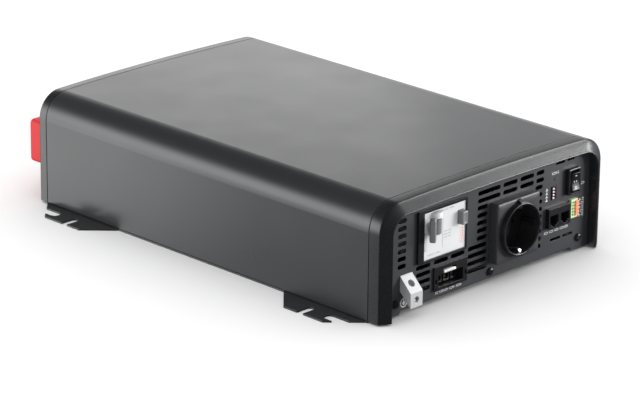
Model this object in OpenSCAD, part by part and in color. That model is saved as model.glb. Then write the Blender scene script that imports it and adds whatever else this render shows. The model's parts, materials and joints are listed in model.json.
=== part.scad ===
// Mobile sine-wave power inverter: crowned sheet cover between two end bezels, a recessed
// front panel with outlets and controls, two rear fans and two rear battery terminals.
// Frame: +Z up, front panel faces -Y, origin under the middle of the bounding box.
// Heights called h are measured up from the cover's lower edge, x from the middle plane,
// and d forwards from the face of the front panel.

/* [Body] */
// Width over the sides of the cover
body_w = 253; // [252:1:254]
// Length of the cover between its two seams
cover_len = 363.4; // [362:0.1:364]
// Height of the crown above the cover's lower edge
cover_h = 93.3; // [93:0.1:94]
// Radius of the two long shoulders
corner_r = 21.9; // [20:0.1:23]
// Radius of the slightly crowned top
crown_r = 3396; // [3000:1:4000]
// Thickness of the cover sheet
cover_t = 1.5; // [1.2:0.1:1.7]
// Thickness of the base plate and its feet
base_t = 1.5; // [1.2:0.1:1.9]
// Gap between the base plate and the cover
base_gap = 0.5; // [0.3:0.1:0.8]

/* [Bezels] */
// Straight depth of the front bezel, before its bevel
hood_flat = 11.1; // [10:0.1:12]
// Depth of the front bezel's bevel
hood_bevel = 5.3; // [4.5:0.1:6]
// Width of the front bezel as seen from the front
hood_w = 9.8; // [9:0.1:10.5]
// Depth of the recess from the bezel's lip to the panel
recess = 8.6; // [8:0.1:9]
// Depth of the rear bezel
tail_len = 9.3; // [8:0.1:10]

/* [Feet] */
// Distance from the middle plane to a foot's outer edge
foot_x = 149.3; // [148:0.1:151]
// Length of a foot along the body
foot_len = 87; // [85:1:88]
// Width of the long screw slot
slot_a_w = 9; // [8:0.1:9.5]
// Width of the cross screw slot
slot_b_w = 6.5; // [6:0.1:7]

/* [Outlets] */
// Side of the square socket flange
socket_w = 49.2; // [48.6:0.1:49.8]
// Radius of the socket's collar
collar_r = 21.45; // [21:0.05:21.8]
// Radius of the socket's well
well_r = 19.6; // [19.5:0.1:20]
// Depth of the socket's well
well_depth = 17.5; // [16:0.1:18]
// Diameter of the earth lug's wire hole
lug_hole_d = 6; // [5:0.1:6.4]

/* [Rear] */
// Diameter of the battery studs
stud_d = 8; // [6:1:8]
// Side of a cooling fan's frame
fan_w = 60; // [58:1:60]
// Length of a battery terminal cover
cap_len = 34.7; // [32:0.1:38]

/* [Hidden] */
$fn = 64;

gap = 0.2;                          // clearance between fixed pieces that nest
zf = base_t + base_gap;             // height of the cover's lower edge above the floor
collar_d = 12.6;                    // socket collar, forwards of the panel
cap_gap = 0.3;                      // terminal cover to terminal base
pad_t = 3.8;                        // terminal base, rearwards of the rear panel
// The foremost and rearmost points set where the origin lies between the seams
front_reach = hood_flat + hood_bevel - recess + collar_d;
tail_recess = 6;                    // rear panel's outer face inside the rear bezel
rear_reach = tail_len - tail_recess + pad_t + cap_gap + cap_len;
seam_f = -(cover_len + rear_reach + front_reach) / 2 + front_reach;
seam_r = seam_f + cover_len;
panel_t = 1.2;
panel_y = seam_f - hood_flat - hood_bevel + recess;
lip_y = panel_y - recess;
rear_y = seam_r + tail_len - tail_recess;    // outer face of the rear panel

// Crowned outline: crown arc, two shoulder arcs, straight sides; all share tangents
cx = body_w / 2 - corner_r;
crown_z = zf + cover_h - crown_r;
lean = asin(cx / (crown_r - corner_r));
cz = crown_z + (crown_r - corner_r) * cos(lean);

spigot_in = 4;                      // inner face of the bezels' spigots, inwards of the outline
tail_w = 8;                         // rear bezel's rim as seen from the rear

// Feet, front and rear, as positions along Y of the middle of each foot
foot_mid = [-147.5, 127.5];
foot_out = foot_x - body_w / 2;
slot_a_x = 140;
slot_b_in = 13.8;

// Front panel layout, [x from, x to, h, width] for each vent slot
vent_t = 3.7;
left_vents = [for (i = [0:6]) [-103.1, -93.9, 37.9 + 6.03 * i, 3.8]];
under_vents = [for (h = [13.6, 19.7, 25.8]) [-82.8, -66.7, h, vent_t]];
row_vents = [[-82.8, -66.7, 31.6, vent_t], [-63, -47, 31.6, vent_t], [-44.2, -28.5, 31.6, vent_t]];
top_vents = [for (h = [68.5, 74.7], s = [[-14.7, 10.9], [14.1, 30.6], [33.8, 49.7], [52.8, 61.9]])
    [s[0], s[1], h, vent_t]];
side_vents = [for (i = [0:8]) [i < 4 ? -25 : -15, -3, 13.8 + 6.12 * i, vent_t]];
inner_vents = [for (i = [0:8]) [52, 60.5, 13.8 + 6.12 * i, vent_t]];
right_vents = [[75.6, 86.6, 77.3, 1.9], [89.4, 98, 77.3, 1.9],
               [71.3, 84, 15, 2.3], [86.3, 98.4, 15, 2.3]];
vents = concat(left_vents, under_vents, row_vents, top_vents, side_vents, inner_vents, right_vents);

socket_x = 23.65;
socket_h = 39.6;
breaker_x = [-76.4, -30.2];
breaker_h = [36.8, 74.6];
lever_x = -62.8;
lever_h = 61.7;
lever_lean = 54;
outlet_x = [-63.9, -26.7];
outlet_h = [8.6, 27.9];
outlet_pins = [-53.6, -45.3, -37];
lug_x = -93.7;
lug_w = 13;
lug_face = 12.1;                    // height of the lug's upright front face
lug_top = 31;
lug_d = 11.4;
lug_bore_depth = 4.6;
rocker_x = 94.75;
rocker_h = 59.55;
rocker_w = 14.5;
rocker_tall = 21.5;
rocker_pivot = 3;                   // rocker axle, behind the panel's face
dip_x = 74.7;
dip_h = 54.25;
dip_pitch = 2.54;
jack_x = 78.1;
jack_h = 34.45;
jack_pitch = 12.9;
plug_x = 97.4;
plug_h = 36.05;
plug_pitch = 2.54;
led_x = 75;
led_h = 65.6;
front_screw_at = [[-105, 9.5], [105, 9.5], [1, 8]];

// Rear panel layout
fan_x = [8, 76];
fan_h = 42;
fan_depth = 25;
fan_bore = fan_w / 2 - 1.5;
fan_screw = fan_w / 2 - 5;
fan_back = rear_y - panel_t - gap;  // the face of a fan frame that meets the rear panel
stud_x = [-92, -51];
stud_h = 39.5;
stud_r = stud_d / 2;
cap_w = 34;
cap_h = 37;
cap_wall = 2.2;

// Inside layout, heights above the floor
board_z = 9.5;
board_t = 1.6;
board_top = board_z + board_t;
board_x = 98;
board_y = [-175, 135];
standoffs = [for (x = [-72, 0, 88], y = [-165, -20, 125]) [x, y]];
sink_y = [-130, 110];

// ---- helpers ----

// A flat shape drawn in X and Z, made solid from y0 to y1
module slab(y0, y1) {
    translate([0, y1, 0]) rotate([90, 0, 0]) linear_extrude(height = y1 - y0) children();
}

// A flat shape drawn in x and h, made solid from d0 to d1 in front of the panel's face
module plate(d0, d1) {
    translate([0, 0, zf]) slab(panel_y - d1, panel_y - d0) children();
}

// A rectangle from [x0, h0] to [x1, h1] with round corners
module rounded(x0, x1, h0, h1, r) {
    translate([x0 + r, h0]) square([x1 - x0 - 2 * r, h1 - h0]);
    translate([x0, h0 + r]) square([x1 - x0, h1 - h0 - 2 * r]);
    for (x = [x0 + r, x1 - r], h = [h0 + r, h1 - r]) translate([x, h]) circle(r = r, $fn = 32);
}

// A plain rectangle from [x0, h0] to [x1, h1]
module rect(x0, x1, h0, h1) {
    translate([x0, h0]) square([x1 - x0, h1 - h0]);
}

// A slot with round ends
module vent(v) {
    rounded(v[0], v[1], v[2] - v[3] / 2, v[2] + v[3] / 2, v[3] / 2 - 0.01);
}

// A cylinder along Y, its front end at y0
module rod(x, z, y0, y1, r, fn = 64) {
    translate([x, y1, z]) rotate([90, 0, 0]) cylinder(r = r, h = y1 - y0, $fn = fn);
}

// The body outline, inset by i, standing on height z0
module outline(i, z0) {
    xt = (crown_r - i) * sin(lean);
    intersection() {
        translate([0, crown_z]) circle(r = crown_r - i, $fn = 3600);
        translate([-xt, z0]) square([2 * xt, cover_h + 20]);
    }
    for (s = [-1, 1]) translate([s * cx, cz]) circle(r = corner_r - i, $fn = 96);
    translate([i - body_w / 2, z0]) square([body_w - 2 * i, cz - z0]);
}

// The same outline as one polygon, for the bevelled bezels
module outline_poly(i, z0) {
    half = body_w / 2 - i;
    arc = [for (k = [0 : 14]) (corner_r - i) * [cos((90 - lean) * k / 14), sin((90 - lean) * k / 14)]];
    polygon(concat(
        [for (p = arc) [cx + p[0], cz + p[1]]],
        [for (k = [11 : -1 : -11]) [(crown_r - i) * sin(lean * k / 12),
                                    crown_z + (crown_r - i) * cos(lean * k / 12)]],
        [for (k = [14 : -1 : 0]) [-cx - arc[k][0], cz + arc[k][1]]],
        [[-half, z0], [half, z0]]));
}

// ---- casing ----

// One foot flange in plan, on the +X side, centred on y = 0, its slot A open towards +Y
module foot_plan() {
    x0 = body_w / 2 - 5;
    half = foot_len / 2;
    difference() {
        polygon([[x0, -half], [body_w / 2, -half], [foot_x, foot_out - half],
                 [foot_x, half - foot_out], [body_w / 2, half], [x0, half]]);
        translate([slot_a_x, 19]) circle(d = slot_a_w, $fn = 48);
        translate([slot_a_x - slot_a_w / 2, 19]) square([slot_a_w, half]);
        translate([foot_x - slot_b_in + slot_b_w / 2, -3.3]) circle(d = slot_b_w, $fn = 48);
        translate([foot_x - slot_b_in + slot_b_w / 2, -3.3 - slot_b_w / 2])
            square([slot_b_in, slot_b_w]);
    }
}

module base_plate() {
    color("#3a3c40") linear_extrude(height = base_t) {
        rear_edge = rear_y - panel_t - gap;
        translate([-body_w / 2, seam_f + gap]) square([body_w, rear_edge - seam_f - gap]);
        for (s = [0, 1]) mirror([s, 0]) {
            translate([0, foot_mid[1]]) foot_plan();
            translate([0, foot_mid[0]]) mirror([0, 1]) foot_plan();
        }
    }
}

module cover() {
    color("#686c70") slab(seam_f + gap, seam_r - gap) difference() {
        outline(0, zf);
        outline(cover_t, zf - 1);
    }
}

// Both bezels: a band flush with the cover, a spigot inside it, and a bevelled outer end
module front_bezel() {
    z0 = base_t + 0.1;
    skin = 0.01;
    color("#4b4d50") difference() {
        union() {
            hull() {
                slab(seam_f - hood_flat, seam_f) outline_poly(0, z0);
                slab(lip_y, lip_y + skin) outline_poly(hood_w - 0.8, z0);
            }
            slab(seam_f - 1, seam_f + 5) outline_poly(cover_t + gap, z0);
        }
        slab(lip_y - 1, panel_y - gap) outline_poly(hood_w, z0 - 1);
        slab(panel_y - gap, seam_f + 6) outline_poly(spigot_in, z0 - 1);
    }
}

module rear_bezel() {
    z0 = base_t + 0.1;
    end_y = seam_r + tail_len;
    skin = 0.01;
    color("#3d3f42") difference() {
        union() {
            hull() {
                slab(seam_r, end_y - 1.5) outline_poly(0, z0);
                slab(end_y - skin, end_y) outline_poly(1.5, z0);
            }
            slab(seam_r - 5, seam_r + 1) outline_poly(cover_t + gap, z0);
        }
        slab(rear_y + gap, end_y + 1) outline_poly(tail_w, z0 - 1);
        slab(seam_r - 6, rear_y + gap) outline_poly(spigot_in, z0 - 1);
    }
}

// Lower edge of the front panel: raised between two tabs
module panel_field() {
    polygon([[-130, 0], [-101, 0], [-98, 3], [96, 3], [99, 0], [130, 0], [130, 110], [-130, 110]]);
}

module front_panel() {
    color("#55575a") plate(-panel_t, 0) difference() {
        intersection() {
            translate([0, -zf]) outline(4 + gap, 0);
            panel_field();
        }
        for (v = vents) vent(v);
        translate([socket_x, socket_h]) circle(r = well_r + 1.3);
        rect(breaker_x[0] - 0.9, breaker_x[1] + 0.8, breaker_h[0] - 0.8, breaker_h[1] + 1);
        rect(outlet_x[0] + 2.1, outlet_x[1] - 1.9, outlet_h[0] + 1, outlet_h[1] - 1.4);
        rect(rocker_x - 6.5, rocker_x + 6.5, rocker_h - 9.7, rocker_h + 9.7);
        rect(dip_x - 3.6, dip_x + 2.6, dip_h - 5.6, dip_h + 5.6);
        rect(jack_x - 12.2, jack_x + 12.2, jack_h - 7.4, jack_h + 7.4);
        rect(plug_x - 4, plug_x + 4, plug_h - 7.9, plug_h + 7.9);
        translate([led_x, led_h]) circle(r = 1.5);
        for (p = front_screw_at) translate(p) circle(r = 2);
    }
}

module rear_panel() {
    color("#3a3c3f") slab(rear_y - panel_t, rear_y) difference() {
        outline(4 + gap, zf);
        for (x = fan_x) {
            translate([x, zf + fan_h]) circle(r = fan_bore - 0.5);
            for (sx = [-1, 1], sz = [-1, 1])
                translate([x + sx * fan_screw, zf + fan_h + sz * fan_screw]) circle(r = 2);
        }
        for (x = stud_x) translate([x, zf + stud_h]) circle(r = 9.5);
        for (s = [-1, 1]) translate([s * 112, zf + 9]) circle(r = 2);
        for (s = [-1, 1]) translate([s * 108, zf + 78]) circle(r = 2);
    }
}

// A pan-head screw pointing along +Y, its head seated at y
module pan_screw(x, z, y, length) {
    rod(x, z, y - 1.6, y, 3.4);
    rod(x, z, y - 2.2, y - 1.6, 2.6);
    rod(x, z, y, y + length, 1.5);
}

module front_screws() {
    color("#1d1e20") for (p = front_screw_at) pan_screw(p[0], p[1] + zf, panel_y, 5);
}

module rear_screws() {
    places = concat([for (s = [-1, 1]) [s * 112, 9]], [for (s = [-1, 1]) [s * 108, 78]]);
    color("#1d1e20") {
        for (p = places) translate([0, 2 * rear_y, 0]) mirror([0, 1, 0])
            pan_screw(p[0], p[1] + zf, rear_y, 5);
        for (x = fan_x, sx = [-1, 1], sz = [-1, 1]) translate([0, 2 * rear_y + 3.4, 0])
            mirror([0, 1, 0]) pan_screw(x + sx * fan_screw, zf + fan_h + sz * fan_screw,
                                        rear_y + 1.7, 12);
    }
}

// ---- mains socket ----

module socket_body() {
    flange = socket_w / 2;
    sx = socket_x;
    sh = socket_h;
    rim = panel_y - collar_d;
    floor_y = rim + well_depth;
    color("#17181a") difference() {
        union() {
            plate(0.1, 7.2) rounded(sx - flange, sx + flange, sh - flange, sh + flange, 1.8);
            plate(7.2, 8.2) rounded(sx - flange + 0.6, sx + flange - 0.6,
                                    sh - flange + 0.6, sh + flange - 0.6, 1.2);
            rod(sx, zf + sh, rim, panel_y + 12, collar_r - 0.7);
            rod(sx, zf + sh, rim, panel_y - 6, collar_r);
            translate([sx - 2, 0, zf]) rotate([90, 0, 90]) linear_extrude(height = 4)
                polygon([[panel_y - 6, sh + 19.8], [rim, sh + 19.8], [rim, sh + 20.8],
                         [panel_y - 8.9, sh + 24.3], [panel_y - 6, sh + 24.3]]);
        }
        rod(sx, zf + sh, rim - 1, floor_y, well_r);
        for (s = [-1, 1]) rod(sx + s * 9.5, zf + sh, floor_y - 1, floor_y + 5.5, 2.7);
    }
    // guide ribs at both sides of the well
    color("#17181a") for (s = [-1, 1]) translate([sx, 0, zf + sh]) rotate([0, s * 90, 0])
        translate([-2.5, rim + 3, well_r - 1.6]) cube([5, well_depth - 3, 1.8]);
}

module socket_contacts() {
    rim = panel_y - collar_d;
    floor_y = rim + well_depth;
    color("#c9ccd0") for (s = [-1, 1]) translate([socket_x, 0, zf + socket_h]) {
        translate([-2.5, rim + 2.5, s * 17.9 - 0.5]) cube([5, well_depth - 2.7, 1]);
        translate([-2.5, rim + 2.5, min(s * 17.9, s * 19.3)]) cube([5, 1.2, 1.4]);
    }
    color("#b08d57") for (s = [-1, 1]) difference() {
        rod(socket_x + s * 9.5, zf + socket_h, floor_y + 0.6, floor_y + 5.4, 2.6);
        rod(socket_x + s * 9.5, zf + socket_h, floor_y, floor_y + 6, 2.1);
    }
}

// ---- breaker ----

module breaker_frame() {
    color("#1b1c1e") plate(0.1, 2.3) difference() {
        rounded(-82.8, -28.9, 35.2, 77, 1);
        rect(breaker_x[0] - 0.2, breaker_x[1] + 0.2, breaker_h[0] - 0.2, breaker_h[1] + 0.2);
    }
}

module breaker_body() {
    zl = zf + lever_h;
    color("#e9eaec") difference() {
        union() {
            plate(-60, 1.3) rect(breaker_x[0], breaker_x[1], breaker_h[0], breaker_h[1]);
            translate([lever_x, panel_y, zl + 6.8]) cylinder(r = 5.6, h = 4.8);
        }
        translate([lever_x, panel_y, zl - 6.4]) cylinder(r = 5.7, h = 12.8);
        plate(-7, 2) rect(-39, -32.3, 57, 68.1);
    }
}

module breaker_lever() {
    zl = zf + lever_h;
    color("#8b9196") translate([lever_x, panel_y, zl]) rotate([0, 0, -lever_lean]) difference() {
        union() {
            translate([0, 0, -6]) cylinder(r = 5.2, h = 12);
            translate([-1.8, -12, -5.5]) cube([3.6, 12, 11]);
            // grip bar with round ends
            translate([-2.4, -14.8, 0]) rotate([90, 0, 90]) linear_extrude(height = 4.8)
                rounded(0, 6.4, -9.7, 9.7, 2.4);
        }
        translate([-3, -11.4, 7.2]) rotate([0, 90, 0]) cylinder(d = 2, h = 6, $fn = 32);
    }
}

module breaker_test_button() {
    color("#b4b7ba") plate(-3.6, 6.5) rounded(-38.7, -32.6, 57.3, 67.8, 0.8);
}

// ---- three-pole outlet ----

module ac_outlet_housing() {
    color("#151618") difference() {
        union() {
            plate(0.1, 1.6) rounded(outlet_x[0], outlet_x[1], outlet_h[0], outlet_h[1], 0.8);
            plate(-18, 0.2) rect(outlet_x[0] + 2.3, outlet_x[1] - 2.1, outlet_h[0] + 1.2,
                                 outlet_h[1] - 1.6);
        }
        plate(-12.4, 2) rect(-59.2, -31.4, 11, 20.9);
        plate(-3, 2) rect(-53.5, -39.9, 20.8, 25);
        for (x = [-61.8, -28.6]) plate(-2, 2) rect(x - 0.9, x + 0.9, 14, 18);
    }
    // square shrouds round the three pins
    color("#151618") for (x = outlet_pins) plate(-12.6, -3.4) difference() {
        rect(x - 3.3, x + 3.3, 12.3, 18.9);
        translate([x, 15.6]) circle(r = 2.4);
    }
}

module ac_outlet_contacts() {
    color("#c2a15a") for (x = outlet_pins) rod(x, zf + 15.6, panel_y + 5, panel_y + 12.4, 1.5);
}

module ac_outlet_latch() {
    color("#d8dadc") plate(-2.6, 2.4) rounded(-53.1, -40.3, 21.6, 23.4, 0.5);
}

// ---- earth lug ----

module earth_lug() {
    mid_d = lug_d / 2;
    mid_h = lug_top - mid_d;
    front_mid = lug_top - lug_d - lug_face / 2;
    color("#d7d8da") difference() {
        translate([lug_x - lug_w / 2, 0, zf]) rotate([90, 0, 90]) linear_extrude(height = lug_w)
            polygon([[panel_y - 0.1, lug_top], [panel_y - lug_d, lug_top - lug_d],
                     [panel_y - lug_d, lug_top - lug_d - lug_face],
                     [panel_y - 0.1, lug_top - lug_face]]);
        // wire hole, square to the sloping face
        translate([lug_x, panel_y - mid_d, zf + mid_h]) rotate([45, 0, 0])
            translate([0, 0, -lug_bore_depth]) cylinder(d = lug_hole_d, h = lug_bore_depth + 5);
        // clamp screw hole in the upright face
        rod(lug_x, zf + front_mid, panel_y - lug_d - 1, panel_y - 3, 2.55);
    }
}

module earth_lug_screw() {
    front_mid = lug_top - lug_d - lug_face / 2;
    y0 = panel_y - lug_d + 0.4;
    color("#b9bbbe") difference() {
        rod(lug_x, zf + front_mid, y0, panel_y - 3.4, 2.48);
        translate([lug_x - 0.5, y0 - 1, zf + front_mid - 1.9]) cube([1, 2, 3.8]);
        translate([lug_x - 1.9, y0 - 1, zf + front_mid - 0.5]) cube([3.8, 2, 1]);
    }
}

// ---- switches and signals ----

module power_rocker_bezel() {
    color("#141517") plate(0.1, 3.9) difference() {
        rounded(rocker_x - rocker_w / 2, rocker_x + rocker_w / 2, rocker_h - rocker_tall / 2,
                rocker_h + rocker_tall / 2, 1.2);
        rect(rocker_x - 5, rocker_x + 5, rocker_h - 9.2, rocker_h + 9.2);
    }
    color("#141517") difference() {
        plate(-16, 0.2) difference() {
            rect(rocker_x - 6.3, rocker_x + 6.3, rocker_h - 9.5, rocker_h + 9.5);
            rect(rocker_x - 5, rocker_x + 5, rocker_h - 8.8, rocker_h + 8.8);
        }
        rocker_axle(20, 1.56);
    }
}

// The rocker's pivot line, as a rod of the given length along X
module rocker_axle(length, r) {
    translate([rocker_x - length / 2, panel_y + rocker_pivot, zf + rocker_h])
        rotate([0, 90, 0]) cylinder(r = r, h = length);
}

// Three-position rocker; its two pads meet in a shallow valley on the pivot line
module power_rocker() {
    z = zf + rocker_h;
    color("#1c1d1f") {
        translate([rocker_x - 4.6, 0, z]) rotate([90, 0, 90]) linear_extrude(height = 9.2)
            polygon([[panel_y - 5.6, 7.4], [panel_y - 4.4, 0], [panel_y - 5.6, -7.4],
                     [panel_y + 1.5, -7], [panel_y + 7, -3], [panel_y + 7, 3],
                     [panel_y + 1.5, 7]]);
        rocker_axle(12, 1.5);
    }
}

module dip_switch_body() {
    color("#a3262b") difference() {
        plate(-5, 0.9) rect(dip_x - 3.4, dip_x + 2.4, dip_h - 5.45, dip_h + 5.45);
        for (i = [0:3]) plate(-1.4, 2) rect(dip_x - 3.1, dip_x + 0.8,
                                            dip_h + (i - 1.5) * dip_pitch - 0.75,
                                            dip_h + (i - 1.5) * dip_pitch + 0.75);
    }
}

module dip_lever(n) {
    h = dip_h + (2.5 - n) * dip_pitch;
    color("#f2f2f0") plate(-1.3, 1.5) rect(dip_x - 2.9, dip_x - 1.5, h - 0.6, h + 0.6);
}

module data_jack_block() {
    color("#1a1b1d") difference() {
        union() {
            plate(-13.6, 3.4) rect(jack_x - 12, jack_x + 12, jack_h - 7.2, jack_h + 7.2);
            plate(0.1, 3.7) rounded(jack_x - 12.9, jack_x + 12.9, jack_h - 8.25, jack_h + 8.25, 0.6);
        }
        for (s = [-1, 1]) {
            x = jack_x + s * jack_pitch / 2;
            plate(-9.5, 4) rect(x - 4.85, x + 4.85, jack_h - 4.4, jack_h + 2.6);
            plate(-9.5, 4) rect(x - 3.1, x + 3.1, jack_h - 6, jack_h - 4.3);
            plate(-9.5, 4) rect(x - 1.6, x + 1.6, jack_h - 7, jack_h - 5.9);
        }
    }
}

module data_jack_contacts() {
    color("#c9a24b") for (s = [-1, 1], i = [0:5]) {
        x = jack_x + s * jack_pitch / 2 + (i - 2.5) * 1.27;
        plate(-9.4, -1) rect(x - 0.25, x + 0.25, jack_h + 2, jack_h + 2.5);
    }
}

module terminal_plug_header() {
    half = 2.5 * plug_pitch + 1.3;
    color("#a9d69c") difference() {
        plate(-12, 2.1) rect(plug_x - 3.8, plug_x + 3.8, plug_h - half, plug_h + half);
        for (i = [0:4]) {
            h = plug_h + (i - 2) * plug_pitch;
            plate(-6, 3) rect(plug_x + 0.2, plug_x + 4.5, h - 1.12, h + 1.12);
            plate(-6, 3) translate([plug_x - 2, h]) circle(r = 0.95, $fn = 24);
        }
    }
}

module terminal_lever(n) {
    h = plug_h + (3 - n) * plug_pitch;
    color("#ee7d3b") plate(-3.8, 3.4) rect(plug_x + 0.4, plug_x + 3.75, h - 1, h + 1);
}

module status_led() {
    color("#d7f0d4") {
        rod(led_x, zf + led_h, panel_y - 0.6, panel_y + 4, 1.3);
        rod(led_x, zf + led_h, panel_y + 1.8, panel_y + 4.6, 2.2);
    }
}

// ---- fans ----

module fan_frame(x) {
    z = zf + fan_h;
    front = fan_back - fan_depth;
    half = fan_w / 2;
    color("#1e1f21") difference() {
        slab(front, fan_back) rounded(x - half, x + half, z - half, z + half, 4);
        rod(x, z, front - 1, fan_back + 1, fan_bore);
        for (sx = [-1, 1], sz = [-1, 1])
            rod(x + sx * fan_screw, z + sz * fan_screw, front - 1, fan_back + 1, 1.8);
    }
    // motor seat on four arms, with the shaft's bearing
    color("#1e1f21") difference() {
        union() {
            rod(x, z, front, front + 3.6, 12);
            for (a = [45, 135]) translate([x, front, z]) rotate([0, a, 0])
                translate([-fan_bore - 0.6, 0, -1.5]) cube([2 * fan_bore + 1.2, 2.6, 3]);
        }
        rod(x, z, front + 0.6, front + 5, 1.56);
    }
}

module fan_rotor(x) {
    z = zf + fan_h;
    y0 = fan_back - fan_depth + 4;
    color("#26272a") {
        rod(x, z, y0 - 3.2, y0 + 1, 1.5);
        rod(x, z, y0, y0 + 19, 13);
        intersection() {
            rod(x, z, y0, y0 + 19, fan_bore - 0.7);
            translate([x, y0 + 9.5, z]) for (i = [0:6]) rotate([0, i * 360 / 7, 0])
                rotate([0, 0, 38]) translate([-0.7, -9.5, 11.5]) cube([1.4, 19, 18]);
        }
    }
}

module fan_guards() {
    eye = fan_screw * sqrt(2);
    color("#8d9093") for (x = fan_x) translate([x, rear_y + 0.1, zf + fan_h]) {
        rotate([-90, 0, 0]) for (r = [9, 16, 23]) rotate_extrude($fn = 64)
            translate([r, 0]) square([1.4, 1.6]);
        for (a = [45, 135, 225, 315]) rotate([0, a, 0]) {
            translate([8, 0, -0.8]) cube([eye - 10.6, 1.6, 1.6]);
            translate([eye, 0, 0]) rotate([-90, 0, 0]) difference() {
                cylinder(r = 3, h = 1.6);
                translate([0, 0, -1]) cylinder(r = 1.8, h = 4);
            }
        }
    }
}

// ---- battery terminals ----

module dc_terminal_base() {
    z = zf + stud_h;
    color("#202123") difference() {
        union() {
            slab(rear_y + 0.1, rear_y + pad_t) rounded(-112, -31, z - 21, z + 21, 3);
            for (x = stud_x) rod(x, z, rear_y - 9.4, rear_y + pad_t + 4, 9);
        }
        for (x = stud_x) rod(x, z, rear_y - 11, rear_y + 10, stud_r + 0.2);
    }
}

module dc_studs() {
    color("#b98d4f") for (x = stud_x) rod(x, zf + stud_h, rear_y - 24, rear_y + 26, stud_r);
}

module dc_nuts() {
    z = zf + stud_h;
    seat = rear_y + pad_t + 4.1;
    color("#b4b6b9") for (x = stud_x) difference() {
        union() {
            rod(x, z, seat, seat + 1.6, 8);
            rod(x, z, seat + 1.6, seat + 8, 7.5, 6);
        }
        rod(x, z, seat - 1, seat + 9, stud_r + 0.05);
    }
}

module dc_busbars() {
    z = zf + stud_h;
    y1 = rear_y - 9.6;
    color("#c27a45") for (x = stud_x) difference() {
        union() {
            slab(y1 - 3, y1) rect(x - 10, x + 10, board_top + 0.2, z + 11);
            translate([x - 10, board_y[1] - 22, board_top + 0.2]) cube([20, y1 - board_y[1] + 20, 3]);
        }
        rod(x, z, y1 - 5, y1 + 1, stud_r + 0.15);
    }
}

// Pull-off cover over one stud, open towards the panel, with a cable notch underneath
module terminal_cover(x) {
    z = zf + stud_h;
    y0 = rear_y + pad_t + cap_gap;
    difference() {
        slab(y0, y0 + cap_len) rounded(x - cap_w / 2, x + cap_w / 2, z - cap_h / 2, z + cap_h / 2, 4);
        slab(y0 - 1, y0 + cap_len - cap_wall)
            rounded(x - cap_w / 2 + cap_wall, x + cap_w / 2 - cap_wall,
                    z - cap_h / 2 + cap_wall, z + cap_h / 2 - cap_wall, 2);
        translate([x - 9, y0 + 8, z - cap_h / 2 - 1]) cube([18, 20, cap_wall + 2]);
    }
}

module terminal_cover_positive() {
    color("#e8222c") terminal_cover(stud_x[0]);
}

module terminal_cover_negative() {
    color("#1a1b1d") terminal_cover(stud_x[1]);
}

// ---- inside ----

module main_board() {
    color("#1f5b3a") translate([0, 0, board_z]) linear_extrude(height = board_t) difference() {
        translate([-board_x, board_y[0]]) square([2 * board_x, board_y[1] - board_y[0]]);
        for (p = standoffs) translate(p) circle(r = 1.7, $fn = 24);
    }
}

module control_board() {
    color("#1f5b3a") plate(-15.8, -14.2) difference() {
        rect(62, 113, 10, 76);
        rect(rocker_x - 8, rocker_x + 8, rocker_h - 11, rocker_h + 11);
    }
}

module board_standoffs() {
    color("#c7b26a") for (p = standoffs) translate([p[0], p[1], base_t]) {
        cylinder(r = 3, h = board_z - base_t, $fn = 6);
        cylinder(r = 1.5, h = board_z - base_t + board_t + 0.6, $fn = 32);
    }
}

module insulation_sheet() {
    color("#ded9c4") translate([0, 0, base_t + 0.1]) linear_extrude(height = 0.5) difference() {
        translate([-board_x, board_y[0]]) square([2 * board_x, board_y[1] - board_y[0]]);
        for (p = standoffs) translate(p) circle(r = 3.6, $fn = 24);
    }
}

// Finned extrusion beside the board, its fins pointing outwards
module heatsink(side) {
    y0 = sink_y[0];
    color("#9fa3a6") mirror([side < 0 ? 1 : 0, 0, 0]) slab(y0, sink_y[1]) {
        rect(100.5, 105, base_t + 0.1, 56);
        for (i = [0:8]) rect(104.9, 119, base_t + 0.1 + i * 6.5, base_t + 2.1 + i * 6.5);
    }
}

module power_transistors() {
    color("#222326") for (s = [-1, 1], i = [0:5])
        translate([s * 97.9 - 2.5, sink_y[0] + 20 + i * 38, 15]) cube([5, 16, 21]);
}

// Two-slab ferrite core round a wound bobbin
module transformer(y) {
    translate([-38, y, board_top + 0.1]) {
        color("#3c3d41") difference() {
            translate([-28, -22, 0]) cube([56, 44, 50]);
            translate([-20, -23, 8]) cube([13, 46, 34]);
            translate([7, -23, 8]) cube([13, 46, 34]);
        }
        color("#c98b3d") difference() {
            translate([-19.5, -27, 8.5]) cube([39, 54, 33]);
            translate([-7.3, -22.3, 7]) cube([14.6, 44.6, 36]);
        }
    }
}

module output_choke() {
    color("#c57b35") translate([40, -70, board_top + 0.1]) rotate_extrude($fn = 96)
        translate([11, 0]) square([15, 24]);
}

module bus_capacitors() {
    color("#1f3350") for (y = [-25, 0, 25, 50])
        translate([42, y, board_top + 0.1]) cylinder(r = 11, h = 46, $fn = 64);
}

module input_capacitors() {
    color("#20262e") for (i = [0:4])
        translate([-78 + i * 19, 88, board_top + 0.1]) cylinder(r = 8, h = 30, $fn = 48);
}

module output_relay() {
    color("#1b1c1f") translate([-60, -110, board_top + 0.1]) cube([30, 16, 24]);
}

module input_fuses() {
    color("#c4512e") for (i = [0:3])
        translate([22 + i * 14, 96, board_top + 0.1]) cube([6, 20, 15]);
}

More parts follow.
